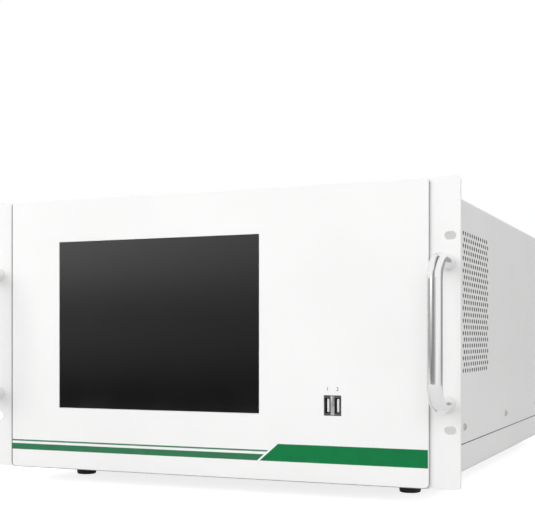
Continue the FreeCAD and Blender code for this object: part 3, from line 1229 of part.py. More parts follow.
# Electronics: high voltage module on two feet, stepped power supply, main board on standoffs
def make_electronics():
    module = block("VoltageCan", "voltage_width", "voltage_depth", "voltage_height")
    feet = [block("VoltageFoot" + side, "voltage_foot", "voltage_depth", "foot_plate",
                  f"{sign} * (voltage_width + voltage_foot) / 2")
            for side, sign in (("West", "-1"), ("East", "1"))]
    deliver(joined("high_voltage_module", [module] + feet), "high_voltage_module",
            "voltage_across", "voltage_along", "floor_top")

    supply = new_body("power_supply")
    side = sketch_on(supply, "SupplySide", "YZ_Plane", "-supply_width / 2")
    outline(side, [("-supply_depth / 2", "0"), ("supply_depth / 2", "0"),
                   ("supply_depth / 2", "supply_low"),
                   ("supply_depth / 2 - supply_step", "supply_low"),
                   ("supply_depth / 2 - supply_step", "supply_height"),
                   ("-supply_depth / 2", "supply_height")])
    pad(supply, side, "supply_width")
    deliver(supply, "power_supply", "supply_across", "supply_along", "floor_top")

    board = [block("BoardPlate", "board_width", "board_depth", "board_plate"),
             block("Heatsink", "chip_size", "chip_size", "chip_height", "0", "0", "board_plate")]
    for name, sign in (("West", "-1"), ("East", "1")):
        board.append(block("Header" + name, "header_width", "board_depth / 2", "header_height",
                           f"{sign} * (board_width / 2 - board_inset - header_width)", "0",
                           "board_plate"))
    deliver(joined("main_board", board), "main_board", "board_across", "board_along",
            "floor_top + standoff_height")
    posts = []
    for index, (right, back) in enumerate(((-1, -1), (1, -1), (-1, 1), (1, 1))):
        posts.append(hex_bar(f"Standoff{index}", "standoff_hex", "standoff_height", "z",
                             f"{right} * (board_width / 2 - board_inset)",
                             f"{back} * (board_depth / 2 - board_inset)"))
    deliver(group("board_standoffs", posts), "board_standoffs", "board_across", "board_along",
            "floor_top")


# Run every builder, then check and write the pieces
make_front_panel()
make_display()
make_data_sockets()
make_front_frame()
make_ears_and_handles()
make_base_tray()
make_case_cover()
make_cover_screws()
make_feet()
make_rear_panel()
make_power_inlet()
make_switch()
make_fans()
make_gas_fittings()
make_rear_sockets()
make_column_oven()
make_mobility_cell()
make_sample_valve()
make_sample_pump()
make_gas_supply()
make_electronics()
deliver(group("case_screws", case_screws), "case_screws")
document.recompute()

for feature in document.Objects:
    if "Invalid" in feature.State or "Error" in feature.State:
        raise RuntimeError(f"{feature.Label} failed: {feature.State}")

os.makedirs("parts", exist_ok=True)
for piece in pieces:
    if piece.Shape.isNull() or not piece.Shape.isValid():
        raise RuntimeError(f"{piece.Label} has no valid shape")
    piece.Shape.exportStep(f"parts/{piece.Label}.step")
print(f"{len(pieces)} pieces")
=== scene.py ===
import math

import bmesh
import bpy
from mathutils import Matrix, Vector


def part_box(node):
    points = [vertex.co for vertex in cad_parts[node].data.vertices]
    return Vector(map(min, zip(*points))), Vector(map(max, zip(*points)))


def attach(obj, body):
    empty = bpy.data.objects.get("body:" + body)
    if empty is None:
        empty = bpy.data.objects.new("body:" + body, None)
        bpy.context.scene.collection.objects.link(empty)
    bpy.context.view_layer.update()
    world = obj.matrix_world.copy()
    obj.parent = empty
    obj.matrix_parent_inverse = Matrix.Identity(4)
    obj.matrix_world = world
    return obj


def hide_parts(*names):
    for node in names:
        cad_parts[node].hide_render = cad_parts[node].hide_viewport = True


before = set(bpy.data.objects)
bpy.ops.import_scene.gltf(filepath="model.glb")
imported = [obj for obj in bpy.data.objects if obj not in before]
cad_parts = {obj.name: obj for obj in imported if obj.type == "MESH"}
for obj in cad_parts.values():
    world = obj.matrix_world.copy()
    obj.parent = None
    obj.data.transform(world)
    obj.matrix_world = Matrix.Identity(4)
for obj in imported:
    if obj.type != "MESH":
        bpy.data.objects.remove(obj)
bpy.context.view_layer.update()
scene = bpy.context.scene


# Front panel
# A flat steel plate with rounded corners and softened front edges, powder coated white, with a
# dark grey band of painted shade along its side and lower edges. It stands in front of the ears.

mm = 0.001


def new_finish(name, colour, roughness, metallic=0.0):
    """A material with plain shader values, the start of every finish."""
    made = bpy.data.materials.new(name)
    made.use_nodes = True
    shader = made.node_tree.nodes["Principled BSDF"]
    shader.inputs["Base Color"].default_value = (*colour, 1)
    shader.inputs["Roughness"].default_value = roughness
    shader.inputs["Metallic"].default_value = metallic
    return made


def grain(made, scale, stretch=(1, 1, 1), detail=3.0):
    """Noise through the piece at so many lumps a metre, drawn out along an axis where brushed."""
    nodes, links = made.node_tree.nodes, made.node_tree.links
    place = nodes.new("ShaderNodeTexCoord")
    drawn_out = nodes.new("ShaderNodeMapping")
    drawn_out.inputs["Scale"].default_value = stretch
    noise = nodes.new("ShaderNodeTexNoise")
    noise.inputs["Scale"].default_value = scale
    noise.inputs["Detail"].default_value = detail
    links.new(place.outputs["Object"], drawn_out.inputs["Vector"])
    links.new(drawn_out.outputs["Vector"], noise.inputs["Vector"])
    return noise.outputs["Fac"]


def vary_colour(made, pattern, dark, light, edges=(0.35, 0.65)):
    """Let the colour drift between two tones with a pattern."""
    nodes, links = made.node_tree.nodes, made.node_tree.links
    ramp = nodes.new("ShaderNodeValToRGB")
    for element, edge, tone in zip(ramp.color_ramp.elements, edges, (dark, light)):
        element.position = edge
        element.color = (*tone, 1)
    links.new(pattern, ramp.inputs["Fac"])
    links.new(ramp.outputs["Color"], nodes["Principled BSDF"].inputs["Base Color"])


def vary_roughness(made, pattern, smooth, rough):
    """Let the roughness drift between two values with a pattern."""
    nodes, links = made.node_tree.nodes, made.node_tree.links
    spread = nodes.new("ShaderNodeMapRange")
    for socket, value in (("From Min", 0.3), ("From Max", 0.7), ("To Min", smooth), ("To Max", rough)):
        spread.inputs[socket].default_value = value
    links.new(pattern, spread.inputs["Value"])
    links.new(spread.outputs["Result"], nodes["Principled BSDF"].inputs["Roughness"])


def relief(made, pattern, depth):
    """Raise the surface with a pattern, to a depth in metres."""
    nodes, links = made.node_tree.nodes, made.node_tree.links
    bump = nodes.new("ShaderNodeBump")
    bump.inputs["Distance"].default_value = depth
    links.new(pattern, bump.inputs["Height"])
    links.new(bump.outputs["Normal"], nodes["Principled BSDF"].inputs["Normal"])


def dress(material, *names):
    """Give a finish to pieces that come from the frame as they are."""
    for name in names:
        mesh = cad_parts[name].data
        mesh.materials.clear()
        mesh.materials.append(material)


white_coat = new_finish("white_powder_coat", (0.87, 0.87, 0.86), 0.5)
vary_colour(white_coat, grain(white_coat, 7), (0.855, 0.856, 0.85), (0.885, 0.885, 0.88))
vary_roughness(white_coat, grain(white_coat, 60), 0.42, 0.56)
relief(white_coat, grain(white_coat, 1300, detail=2), 0.03 * mm)


def where(made):
    """The outputs that give a point's place on the piece along X, Y and Z."""
    nodes, links = made.node_tree.nodes, made.node_tree.links
    place = nodes.new("ShaderNodeTexCoord")
    apart = nodes.new("ShaderNodeSeparateXYZ")
    links.new(place.outputs["Object"], apart.inputs["Vector"])
    return apart.outputs


def reckon(made, operation, *terms):
    """A step of arithmetic among the nodes: each term is a number or another node's output."""
    nodes, links = made.node_tree.nodes, made.node_tree.links
    step = nodes.new("ShaderNodeMath")
    step.operation = operation
    for socket, term in zip(step.inputs, terms):
        if isinstance(term, (int, float)):
            socket.default_value = term
        else:
            links.new(term, socket)
    return step.outputs["Value"]


def paint_shade_on_coat(made, mask, colour):
    """Paint a dark tone over a coat where a mask is full, as painted shade."""
    nodes, links = made.node_tree.nodes, made.node_tree.links
    coat_ramp = next(node for node in nodes if node.type == "VALTORGB")
    mixed = nodes.new("ShaderNodeMix")
    mixed.data_type = "RGBA"
    mixed.inputs["B"].default_value = (*colour, 1)
    links.new(mask, mixed.inputs["Factor"])
    links.new(coat_ramp.outputs["Color"], mixed.inputs["A"])
    links.new(mixed.outputs["Result"], nodes["Principled BSDF"].inputs["Base Color"])


# Painted shade runs as a dark band down both sides and round the lower corners. It is set a
# little to the right and down, so it is wider on the left and narrower along the foot.
panel_low, panel_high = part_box("front_panel")
rim_radius, shade_band_width, solid_share = 5.0 * mm, 1.4 * mm, 0.45
rim_right, rim_down = 0.8 * mm, 0.5 * mm
rim_middle = (panel_low.x + panel_high.x) / 2 + rim_right
side_line = (panel_high.x - panel_low.x) / 2 - rim_radius
foot_line = panel_low.z + rim_radius - rim_down

edge_shaded_coat = white_coat.copy()
edge_shaded_coat.name = "panel_coat_painted_edge_shade"
spot = where(edge_shaded_coat)
aside = reckon(edge_shaded_coat, "ABSOLUTE", reckon(edge_shaded_coat, "SUBTRACT", spot["X"], rim_middle))
aside = reckon(edge_shaded_coat, "MAXIMUM", reckon(edge_shaded_coat, "SUBTRACT", aside, side_line), 0.0)
below = reckon(edge_shaded_coat, "MAXIMUM", reckon(edge_shaded_coat, "SUBTRACT", foot_line, spot["Z"]), 0.0)
outward = reckon(edge_shaded_coat, "ADD", reckon(edge_shaded_coat, "MULTIPLY", aside, aside),
                 reckon(edge_shaded_coat, "MULTIPLY", below, below))
rim = edge_shaded_coat.node_tree.nodes.new("ShaderNodeMapRange")
rim.inputs["From Min"].default_value = rim_radius - shade_band_width
rim.inputs["From Max"].default_value = rim_radius - shade_band_width * solid_share
edge_shaded_coat.node_tree.links.new(reckon(edge_shaded_coat, "SQRT", outward), rim.inputs["Value"])
# The dark grey is painted shade: the shadow line along the panel's sides and lower edge.
paint_shade_on_coat(edge_shaded_coat, rim.outputs["Result"], (0.17, 0.17, 0.173))
dress(edge_shaded_coat, "front_panel")


# Stripes on the foot of the panel
# Three bands of green screen ink over the coat: a thin line and a bar from the left, and a broad
# bar to the right edge that starts on a slant.

ink_film = 0.05 * mm
ink_edge = 1.0
stripes = {
    "stripe_broad": ((0.0045, 0.185, 0.055), [
        (272.9, 17.65), (429.0, 17.65), (429.0, 33.4), (290.9, 33.4)]),
    "stripe_bar": ((0.036, 0.18, 0.085), [
        (ink_edge, 17.65), (270.4, 17.65), (277.1, 23.5), (ink_edge, 23.5)]),
    "stripe_line": ((0.072, 0.22, 0.12), [
        (ink_edge, 25.9), (279.6, 25.9), (281.5, 27.4), (ink_edge, 27.4)]),
}


def shown(name, form, material, body="case", replaces=(), sharp=35):
    """Turn a finished form into a piece of the instrument that rides on a body."""
    bmesh.ops.recalc_face_normals(form, faces=form.faces)
    mesh = bpy.data.meshes.new(name)
    form.to_mesh(mesh)
    form.free()
    mesh.shade_smooth()
    mesh.set_sharp_from_angle(angle=math.radians(sharp))
    mesh.materials.append(material)
    piece = bpy.data.objects.new(name, mesh)
    scene.collection.objects.link(piece)
    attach(piece, body)
    for node in replaces:
        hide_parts(node)


def film(form, corners, thickness):
    """A thin flat layer on an upright face: forward of its corners, or behind them if negative."""
    face = form.faces.new([form.verts.new(corner) for corner in corners])
    raised = bmesh.ops.extrude_face_region(form, geom=[face])
    lifted = [part for part in raised["geom"] if isinstance(part, bmesh.types.BMVert)]
    bmesh.ops.translate(form, verts=lifted, vec=(0, -thickness, 0))


for name, (colour, corners) in stripes.items():
    ink = new_finish(name + "_ink", colour, 0.42)
    ink.node_tree.nodes["Principled BSDF"].inputs["Specular IOR Level"].default_value = 0.12
    vary_colour(ink, grain(ink, 90), [0.96 * tone for tone in colour], [1.04 * tone for tone in colour])
    vary_roughness(ink, grain(ink, 150), 0.36, 0.5)
    relief(ink, grain(ink, 1300, detail=2), 0.02 * mm)
    band = bmesh.new()
    film(band, [(panel_low.x + right * mm, panel_low.y, panel_low.z + up * mm)
                for right, up in corners], ink_film)
    shown(name, band, ink)


# Display
# A black cover glass, flush in its opening, bonded to a panel module. A steel bracket holds the
# module from behind and carries the controller board.

black_glass = new_finish("screen_glass", (0.002, 0.002, 0.0022), 0.09)
vary_roughness(black_glass, grain(black_glass, 25), 0.07, 0.12)
black_glass.node_tree.nodes["Principled BSDF"].inputs["IOR"].default_value = 1.5
dress(black_glass, "display_glass")

zinc = new_finish("zinc_steel", (0.6, 0.61, 0.62), 0.35, 1.0)
vary_colour(zinc, grain(zinc, 120), (0.52, 0.53, 0.55), (0.66, 0.67, 0.67))
vary_roughness(zinc, grain(zinc, 200), 0.28, 0.45)
dress(zinc, "display_bracket", "front_frame")

aluminium = new_finish("bare_aluminium", (0.72, 0.72, 0.73), 0.35, 1.0)
vary_colour(aluminium, grain(aluminium, 60), (0.68, 0.68, 0.69), (0.76, 0.76, 0.77))
vary_roughness(aluminium, grain(aluminium, 400, (1, 0.04, 1)), 0.28, 0.46)
relief(aluminium, grain(aluminium, 900, (1, 0.03, 1)), 0.02 * mm)
dress(aluminium, "display_module")

board = new_finish("circuit_board", (0.03, 0.2, 0.09), 0.4)
vary_colour(board, grain(board, 900, detail=0), (0.02, 0.13, 0.06), (0.04, 0.24, 0.11))
relief(board, grain(board, 900, detail=0), 0.05 * mm)
dress(board, "controller_board")


# Data sockets
# Two upright ports in one block, with a plated divider between them, and in each port a pale
# plastic tongue that carries four gilt contacts.

socket_metal = new_finish("socket_metal", (0.55, 0.55, 0.56), 0.3, 1.0)
vary_roughness(socket_metal, grain(socket_metal, 500), 0.24, 0.4)
dark_metal = new_finish("socket_block_plating", (0.11, 0.11, 0.115), 0.42, 0.6)
vary_roughness(dark_metal, grain(dark_metal, 500), 0.36, 0.5)
dress(dark_metal, "usb_socket_block")

pale_plastic = new_finish("pale_plastic", (0.8, 0.8, 0.78), 0.4)
vary_roughness(pale_plastic, grain(pale_plastic, 300), 0.34, 0.46)
gilt = new_finish("gilt_contact", (0.85, 0.62, 0.25), 0.25, 1.0)
vary_roughness(gilt, grain(gilt, 800), 0.2, 0.34)


def add_box(form, low, high, edge=0.0):
    """A box between two corners, with its edges softened, added to a form."""
    low, high = Vector(low), Vector(high)
    made = bmesh.ops.create_cube(form, size=1, matrix=Matrix.Translation((low + high) / 2)
                                 @ Matrix.Diagonal((*(high - low), 1)))
    if edge:
        rims = {rim for corner in made["verts"] for rim in corner.link_edges}
        bmesh.ops.bevel(form, geom=list(rims), offset=edge, segments=2, profile=0.5,
                        affect="EDGES", material=-1)


block_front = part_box("usb_socket_block")[0].y
tongues_low, tongues_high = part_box("usb_tongues")
block_middle = (tongues_low.x + tongues_high.x) / 2
divider_half, divider_rise = 1.75 * mm, 8.4 * mm
divider_proud, divider_sunk, divider_edge = 0.25 * mm, 0.1 * mm, 0.1 * mm
port_level = (tongues_low.z + tongues_high.z) / 2
divider = bmesh.new()
add_box(divider,
        (block_middle - divider_half, block_front - divider_proud, port_level - divider_rise),
        (block_middle + divider_half, block_front + divider_sunk, port_level + divider_rise),
        divider_edge)
shown("usb_divider", divider, socket_metal)

tongue_width, tongue_edge = 2.0 * mm, 0.25 * mm
contact_pitch, contact_half = 2.5 * mm, 0.5 * mm
contact_start, contact_end = 1.0 * mm, 8.0 * mm
contact_proud, contact_sunk = 0.12 * mm, 0.1 * mm
tongues = bmesh.new()
contacts = bmesh.new()
for tongue_x in (tongues_low.x, tongues_high.x - tongue_width):
    add_box(tongues, (tongue_x, tongues_low.y, tongues_low.z),
            (tongue_x + tongue_width, tongues_high.y, tongues_high.z), tongue_edge)
    for index in range(4):
        level = port_level + (index - 1.5) * contact_pitch
        add_box(contacts,
                (tongue_x - contact_proud, tongues_low.y + contact_start, level - contact_half),
                (tongue_x + contact_sunk, tongues_low.y + contact_end, level + contact_half))
shown("socket_tongues", tongues, pale_plastic, replaces=["usb_tongues"])
shown("socket_contacts", contacts, gilt)


# Port numbers
# Small dark grey numerals over the two ports, printed on the coat in a thin film of screen ink,
# like the stripes.

numeral_ink = new_finish("numeral_ink", (0.12, 0.12, 0.125), 0.5)
vary_roughness(numeral_ink, grain(numeral_ink, 600), 0.42, 0.58)
numeral_film = 0.04 * mm
capital_share = 0.72


def print_text(name, words, height, spot, turn=0.0):
    """A mark printed on an upright face: the middle of its foot at a spot, turned about Z."""
    curve = bpy.data.curves.new(name, "FONT")
    curve.body = words
    curve.size = height / capital_share
    curve.align_x = "CENTER"
    curve.extrude = numeral_film
    text = bpy.data.objects.new(name, curve)
    scene.collection.objects.link(text)
    bpy.context.view_layer.update()
    flat = bpy.data.meshes.new_from_object(text.evaluated_get(bpy.context.evaluated_depsgraph_get()))
    bpy.data.objects.remove(text)
    flat.transform(Matrix.Translation(spot) @ Matrix.Rotation(turn, 4, "Z")
                   @ Matrix.Rotation(math.radians(90), 4, "X"))
    flat.materials.clear()
    flat.materials.append(numeral_ink)
    printed = bpy.data.objects.new(name, flat)
    scene.collection.objects.link(printed)
    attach(printed, "case")


numeral_height, numeral_rise = 3.4 * mm, 13.0 * mm
for numeral, port_x in (("1", tongues_low.x + tongue_width / 2),
                        ("2", tongues_high.x - tongue_width / 2)):
    print_text("port_numeral_" + numeral, numeral, numeral_height,
               (port_x, panel_low.y, port_level + numeral_rise))


# Rack ears
# Two flat steel plates behind the panel's sides, powder coated like it, each with two slots for
# rack screws. Screws inside the case hold them to the front frame.

dress(white_coat, "rack_ear_left", "rack_ear_right")


# Handles
# Round steel bars bent twice and plated satin chrome. Each is held by two screws that are sunk in
# the back of its ear.

satin_chrome = new_finish("satin_chrome", (0.87, 0.87, 0.87), 0.16, 1.0)
vary_roughness(satin_chrome, grain(satin_chrome, 700, (1, 1, 0.05)), 0.12, 0.19)
relief(satin_chrome, grain(satin_chrome, 2500, (1, 1, 0.04)), 0.004 * mm)

bar_radius, bend_radius = 6.5 * mm, 19.0 * mm
bar_sides, bend_steps = 48, 14


def run_on(form, rim, way):
    """Carry a rim of edges straight on by a vector and return the new rim."""
    grown = bmesh.ops.extrude_edge_only(form, edges=rim)["geom"]
    moved = [part for part in grown if isinstance(part, bmesh.types.BMVert)]
    bmesh.ops.translate(form, verts=moved, vec=way)
    return [part for part in grown if isinstance(part, bmesh.types.BMEdge)]


def bend_on(form, rim, centre, axis, angle, steps):
    """Carry a rim of edges round a centre and return the new rim."""
    ends = {end for edge in rim for end in edge.verts}
    swept = bmesh.ops.spin(form, geom=[*ends, *rim], cent=centre, axis=axis, dvec=(0, 0, 0),
                           angle=angle, steps=steps, use_merge=False, use_normal_flip=False,
                           use_duplicate=False)
    return [part for part in swept["geom_last"] if isinstance(part, bmesh.types.BMEdge)]


for side in ("left", "right"):
    low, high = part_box("handle_" + side)
    bar_x = (low.x + high.x) / 2
    turn_y = low.y + bar_radius + bend_radius
    bar = bmesh.new()
    bmesh.ops.create_circle(
        bar, radius=bar_radius, segments=bar_sides,
        matrix=Matrix.Translation((bar_x, high.y, low.z + bar_radius))
        @ Matrix.Rotation(math.radians(90), 4, "X"))
    rim = run_on(bar, list(bar.edges), (0, turn_y - high.y, 0))
    lower_turn = (bar_x, turn_y, low.z + bar_radius + bend_radius)
    upper_turn = (bar_x, turn_y, high.z - bar_radius - bend_radius)
    rim = bend_on(bar, rim, lower_turn, (1, 0, 0), -math.pi / 2, bend_steps)
    rim = run_on(bar, rim, (0, 0, upper_turn[2] - lower_turn[2]))
    rim = bend_on(bar, rim, upper_turn, (1, 0, 0), -math.pi / 2, bend_steps)
    run_on(bar, rim, (0, high.y - turn_y, 0))
    bmesh.ops.holes_fill(bar, edges=bar.edges)
    shown("bar_handle_" + side, bar, satin_chrome,
          replaces=["handle_" + side])
dress(zinc, "handle_screws")


# Base tray and case cover
# Folded sheet steel, powder coated: a tray with low sides, and a cover over the top and sides
# with a field of small vent holes punched in the right side. The holes' walls get painted shade,
# a near-black tone in the coat.

dress(white_coat, "base_tray", "rear_panel")

cover_low, cover_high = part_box("case_cover")
vent_front, vent_rear, vent_foot, vent_head = -170.0 * mm, -45.0 * mm, 100.0 * mm, 252.0 * mm
skin, sheet_depth = 0.02 * mm, 1.54 * mm
hole_shaded_coat = white_coat.copy()
hole_shaded_coat.name = "cover_coat_painted_hole_shade"
spot = where(hole_shaded_coat)
inside = 1.0
for axis, low, high in (("X", cover_high.x - sheet_depth, cover_high.x - skin),
                        ("Y", vent_front, vent_rear), ("Z", vent_foot, vent_head)):
    for operation, limit in (("GREATER_THAN", low), ("LESS_THAN", high)):
        test = reckon(hole_shaded_coat, operation, spot[axis], limit)
        inside = reckon(hole_shaded_coat, "MULTIPLY", inside, test)
# Near black on the hole walls: painted shade, for the dark inside the vent holes.
paint_shade_on_coat(hole_shaded_coat, inside, (0.045, 0.045, 0.046))
dress(hole_shaded_coat, "case_cover")


# Seam shade strip
# A thin black strip on each side, pressed in the seam between the cover and the tray. It is painted
# shade and shows as the seam's dark line.

tray_rise, seam_half = 26.8 * mm, 0.2 * mm
seam_level = panel_low.z + tray_rise + seam_half
strip_half, strip_proud, strip_sunk = 0.45 * mm, 0.06 * mm, 1.0 * mm
strip_inset, strip_edge = 0.5 * mm, 0.04 * mm
# Black for the strip: painted shade in the seam between the cover and the tray.
seam_shade_paint = new_finish("seam_painted_shade", (0.05, 0.05, 0.05), 0.8)
vary_roughness(seam_shade_paint, grain(seam_shade_paint, 900), 0.7, 0.9)
strips = bmesh.new()
for side, edge_x in ((-1, cover_low.x), (1, cover_high.x)):
    outer = edge_x + side * strip_proud
    inner = edge_x - side * strip_sunk
    add_box(strips, (min(inner, outer), cover_low.y + strip_inset, seam_level - strip_half),
            (max(inner, outer), cover_high.y - strip_inset, seam_level + strip_half), strip_edge)
shown("seam_shade_strip", strips, seam_shade_paint)


# Case screws
# Button-head screws with a hexagon socket: three on each side of the cover, six on the rear
# panel, and four inside that hold the ears to the front frame.

button_head, button_rise = 3.5 * mm, 2.0 * mm
socket_flats, socket_depth = 2.5 * mm, 1.3 * mm
shank_radius, shank_length = 2.0 * mm, 10.0 * mm
weld = 1e-6


def turned(form, outline, steps=32, matrix=None):
    """Spin an outline of radius and height once round the Z axis, then put it in place."""
    corners = [form.verts.new((radius, 0, height)) for radius, height in outline]
    edges = [form.edges.new(pair) for pair in zip(corners, corners[1:])]
    before = set(form.verts) - set(corners)
    bmesh.ops.spin(form, geom=corners + edges, cent=(0, 0, 0), axis=(0, 0, 1), dvec=(0, 0, 0),
                   angle=2 * math.pi, steps=steps, use_merge=True, use_normal_flip=False,
                   use_duplicate=False)
    made = [corner for corner in form.verts if corner not in before]
    poles = [corner for corner in made if corner.co.xy.length < weld / 10]
    bmesh.ops.remove_doubles(form, verts=poles, dist=weld)
    made = [corner for corner in form.verts if corner not in before]
    if matrix is not None:
        bmesh.ops.transform(form, matrix=matrix, verts=made)
    return made


def facing(spot, way):
    """The place and turn that carry a form drawn up the Z axis to a spot, looking along a way."""
    return Matrix.Translation(spot) @ Vector(way).to_track_quat("Z", "Y").to_matrix().to_4x4()


def button_screw(form, spot, way, length=shank_length):
    """A button-head screw: its head's underside at a spot, its crown looking along a way."""
    made = turned(form, [
        (0, -length), (shank_radius * 0.8, -length), (shank_radius, -length + 0.5 * mm),
        (shank_radius, 0), (button_head, 0), (button_head, button_rise * 0.3),
        (button_head * 0.93, button_rise * 0.6), (button_head * 0.75, button_rise * 0.9),
        (button_head * 0.55, button_rise), (socket_flats * 0.55, button_rise),
        (socket_flats * 0.55, button_rise - socket_depth), (0, button_rise - socket_depth)],
        steps=24)
    for corner in made:
        reach = corner.co.xy.length
        if corner.co.z > 0 and 0 < reach < socket_flats * 0.6:
            angle = math.atan2(corner.co.y, corner.co.x) % (math.pi / 3) - math.pi / 6
            corner.co.xy *= socket_flats / 2 / math.cos(angle) / reach
    bmesh.ops.transform(form, matrix=facing(spot, way), verts=made)


rear_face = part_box("rear_panel")[1].y
screw_level = panel_low.z + tray_rise + 16.4 * mm
first_screw, screw_pitch = 134.0 * mm, 211.5 * mm
rear_across, rear_inset = 190.0 * mm, 9.0 * mm
ear_inside, ear_depth, slot_half_spacing = 206.0 * mm, 18.0 * mm, 82.55 * mm
spots = []
for index in range(3):
    along = panel_low.y + first_screw + index * screw_pitch
    spots += [((cover_high.x, along, screw_level), (1, 0, 0)),
              ((cover_low.x, along, screw_level), (-1, 0, 0))]
for across in (-rear_across, 0, rear_across):
    for level in (panel_low.z + rear_inset, cover_high.z - rear_inset):
        spots.append(((across, rear_face, level), (0, 1, 0)))
for side in (-1, 1):
    for up in (-1, 1):
        level = (panel_low.z + panel_high.z) / 2 + up * slot_half_spacing
        spots.append(((side * ear_inside, panel_low.y + ear_depth, level), (side, 0, 0)))
nickel = new_finish("satin_nickel", (0.6, 0.6, 0.59), 0.42, 1.0)
vary_roughness(nickel, grain(nickel, 900), 0.36, 0.5)
all_screws = bmesh.new()
for spot, way in spots:
    button_screw(all_screws, spot, way)
shown("button_screws", all_screws, nickel, replaces=["case_screws"])


# Feet
# Moulded black rubber with a bevelled rim. A button-head screw in the well of its underside holds
# each foot to the tray.

rubber = new_finish("black_rubber", (0.02, 0.02, 0.02), 0.6)
vary_roughness(rubber, grain(rubber, 400), 0.5, 0.7)
relief(rubber, grain(rubber, 2500), 0.02 * mm)

foot_bore, foot_well, foot_radius, foot_height = 2.15, 5.5, 10.0, 14.5
foot_outline = [(foot_bore, foot_well), (4.5, foot_well), (4.5, 0.4), (4.9, 0), (8.7, 0), (9.3, 0.25),
                (9.75, 0.8), (foot_radius, 1.6), (foot_radius, foot_height - 0.4),
                (foot_radius - 0.4, foot_height), (foot_bore, foot_height), (foot_bore, foot_well)]
foot_screws = bmesh.new()
for corner in ("front_left", "front_right", "rear_left", "rear_right"):
    low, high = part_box("foot_" + corner)
    middle = ((low.x + high.x) / 2, (low.y + high.y) / 2, 0)
    foot = bmesh.new()
    turned(foot, [(radius * mm, height * mm) for radius, height in foot_outline], 48,
           Matrix.Translation(middle))
    bmesh.ops.remove_doubles(foot, verts=foot.verts, dist=weld)
    shown("rubber_foot_" + corner, foot, rubber, replaces=["foot_" + corner])
    button_screw(foot_screws, (middle[0], middle[1], foot_well * mm), (0, 0, -1))
shown("foot_fixings", foot_screws, zinc, replaces=["foot_screws"])


# Rear fan and its guard
# A moulded 80 mm fan behind the rear panel, under a finger guard of plated round wire that four
# screws hold at its loops.

black_plastic = new_finish("black_plastic", (0.03, 0.03, 0.032), 0.5)
vary_roughness(black_plastic, grain(black_plastic, 300), 0.42, 0.6)
relief(black_plastic, grain(black_plastic, 1800), 0.015 * mm)
dress(black_plastic, "rear_fan_frame", "rear_fan_rotor", "side_fan_frame", "side_fan_rotor")

wire = 0.9 * mm
loop_radius = 3.2 * mm
guard_radii = (8.0 * mm, 17.0 * mm, 26.0 * mm, 35.0 * mm)


def wire_ring(form, centre, radius, steps=48):
    """A ring of round wire that faces the rear."""
    section = bmesh.ops.create_circle(
        form, radius=wire, segments=10,
        matrix=Matrix.Translation(Vector(centre) + Vector((radius, 0, 0))))["verts"]
    edges = {edge for corner in section for edge in corner.link_edges}
    bmesh.ops.spin(form, geom=[*section, *edges], cent=centre, axis=(0, 1, 0), dvec=(0, 0, 0),
                   angle=2 * math.pi, steps=steps, use_merge=True, use_normal_flip=False,
                   use_duplicate=False)


def round_bar(form, start, way, radius, segments=10):
    """A straight round bar from a spot along a vector, with closed ends."""
    section = bmesh.ops.create_circle(form, radius=radius, segments=segments, cap_ends=True,
                                      matrix=facing(start, way))["verts"]
    raised = bmesh.ops.extrude_face_region(form, geom=[section[0].link_faces[0]])["geom"]
    far = [part for part in raised if isinstance(part, bmesh.types.BMVert)]
    bmesh.ops.translate(form, verts=far, vec=way)


guard_low, guard_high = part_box("rear_fan_guard")
guard_x, guard_z = (guard_low.x + guard_high.x) / 2, (guard_low.z + guard_high.z) / 2
ring_y = guard_high.y - wire
bar_y = ring_y - 2 * wire
reach = (guard_high.x - guard_low.x) / 2 - loop_radius - wire
guard = bmesh.new()
for radius in guard_radii:
    wire_ring(guard, (guard_x, ring_y, guard_z), radius)
for way in ((1, 0, 0), (0, 0, 1)):
    way = Vector(way)
    middle = Vector((guard_x, bar_y, guard_z))
    round_bar(guard, middle - way * (reach - loop_radius), 2 * way * (reach - loop_radius), wire)
    for side in (-1, 1):
        wire_ring(guard, middle + side * way * reach, loop_radius, 24)
shown("wire_fan_guard", guard, zinc, replaces=["rear_fan_guard"])
guard_screws = bmesh.new()
for across, up in ((-1, 0), (1, 0), (0, -1), (0, 1)):
    spot = (guard_x + across * reach, bar_y + wire, guard_z + up * reach)
    button_screw(guard_screws, spot, (0, 1, 0), bar_y + wire - rear_face)
shown("guard_screws", guard_screws, nickel)


# Mains inlet and switch
# A moulded inlet with three plated pins, and a rocker switch in its own frame beside it, with its
# off and on marks printed on the panel.

dress(black_plastic, "power_inlet", "switch_frame", "power_rocker")
inlet_low, inlet_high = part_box("power_inlet")
inlet_x, inlet_z = (inlet_low.x + inlet_high.x) / 2, (inlet_low.z + inlet_high.z) / 2
pin_tip, pin_length, pin_edge = rear_face + 0.05 * mm, 13.0 * mm, 0.3 * mm
pin_across, pin_up = 7.0 * mm, 2.0 * mm
half_wide, half_high = 1.05 * mm, 2.05 * mm
pins = bmesh.new()
for across, up in ((-1, -1), (0, 1), (1, -1)):
    pin_x, pin_z = inlet_x + across * pin_across, inlet_z + up * pin_up
    add_box(pins, (pin_x - half_wide, pin_tip - pin_length, pin_z - half_high),
            (pin_x + half_wide, pin_tip, pin_z + half_high), pin_edge)
shown("inlet_pins", pins, nickel)

switch_low, switch_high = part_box("switch_frame")
switch_x = (switch_low.x + switch_high.x) / 2
mark_height, mark_gap = 3.2 * mm, 2.0 * mm
for name, mark, level in (("on_mark", "I", switch_high.z + mark_gap),
                          ("off_mark", "O", switch_low.z - mark_gap - mark_height)):
    print_text(name, mark, mark_height, (switch_x, rear_face, level), math.pi)


# Gas fittings
# Four stainless bulkhead fittings, each a hexagon against the panel and a threaded stub with a
# tube bore, numbered in the panel's ink. Their nuts are inside.

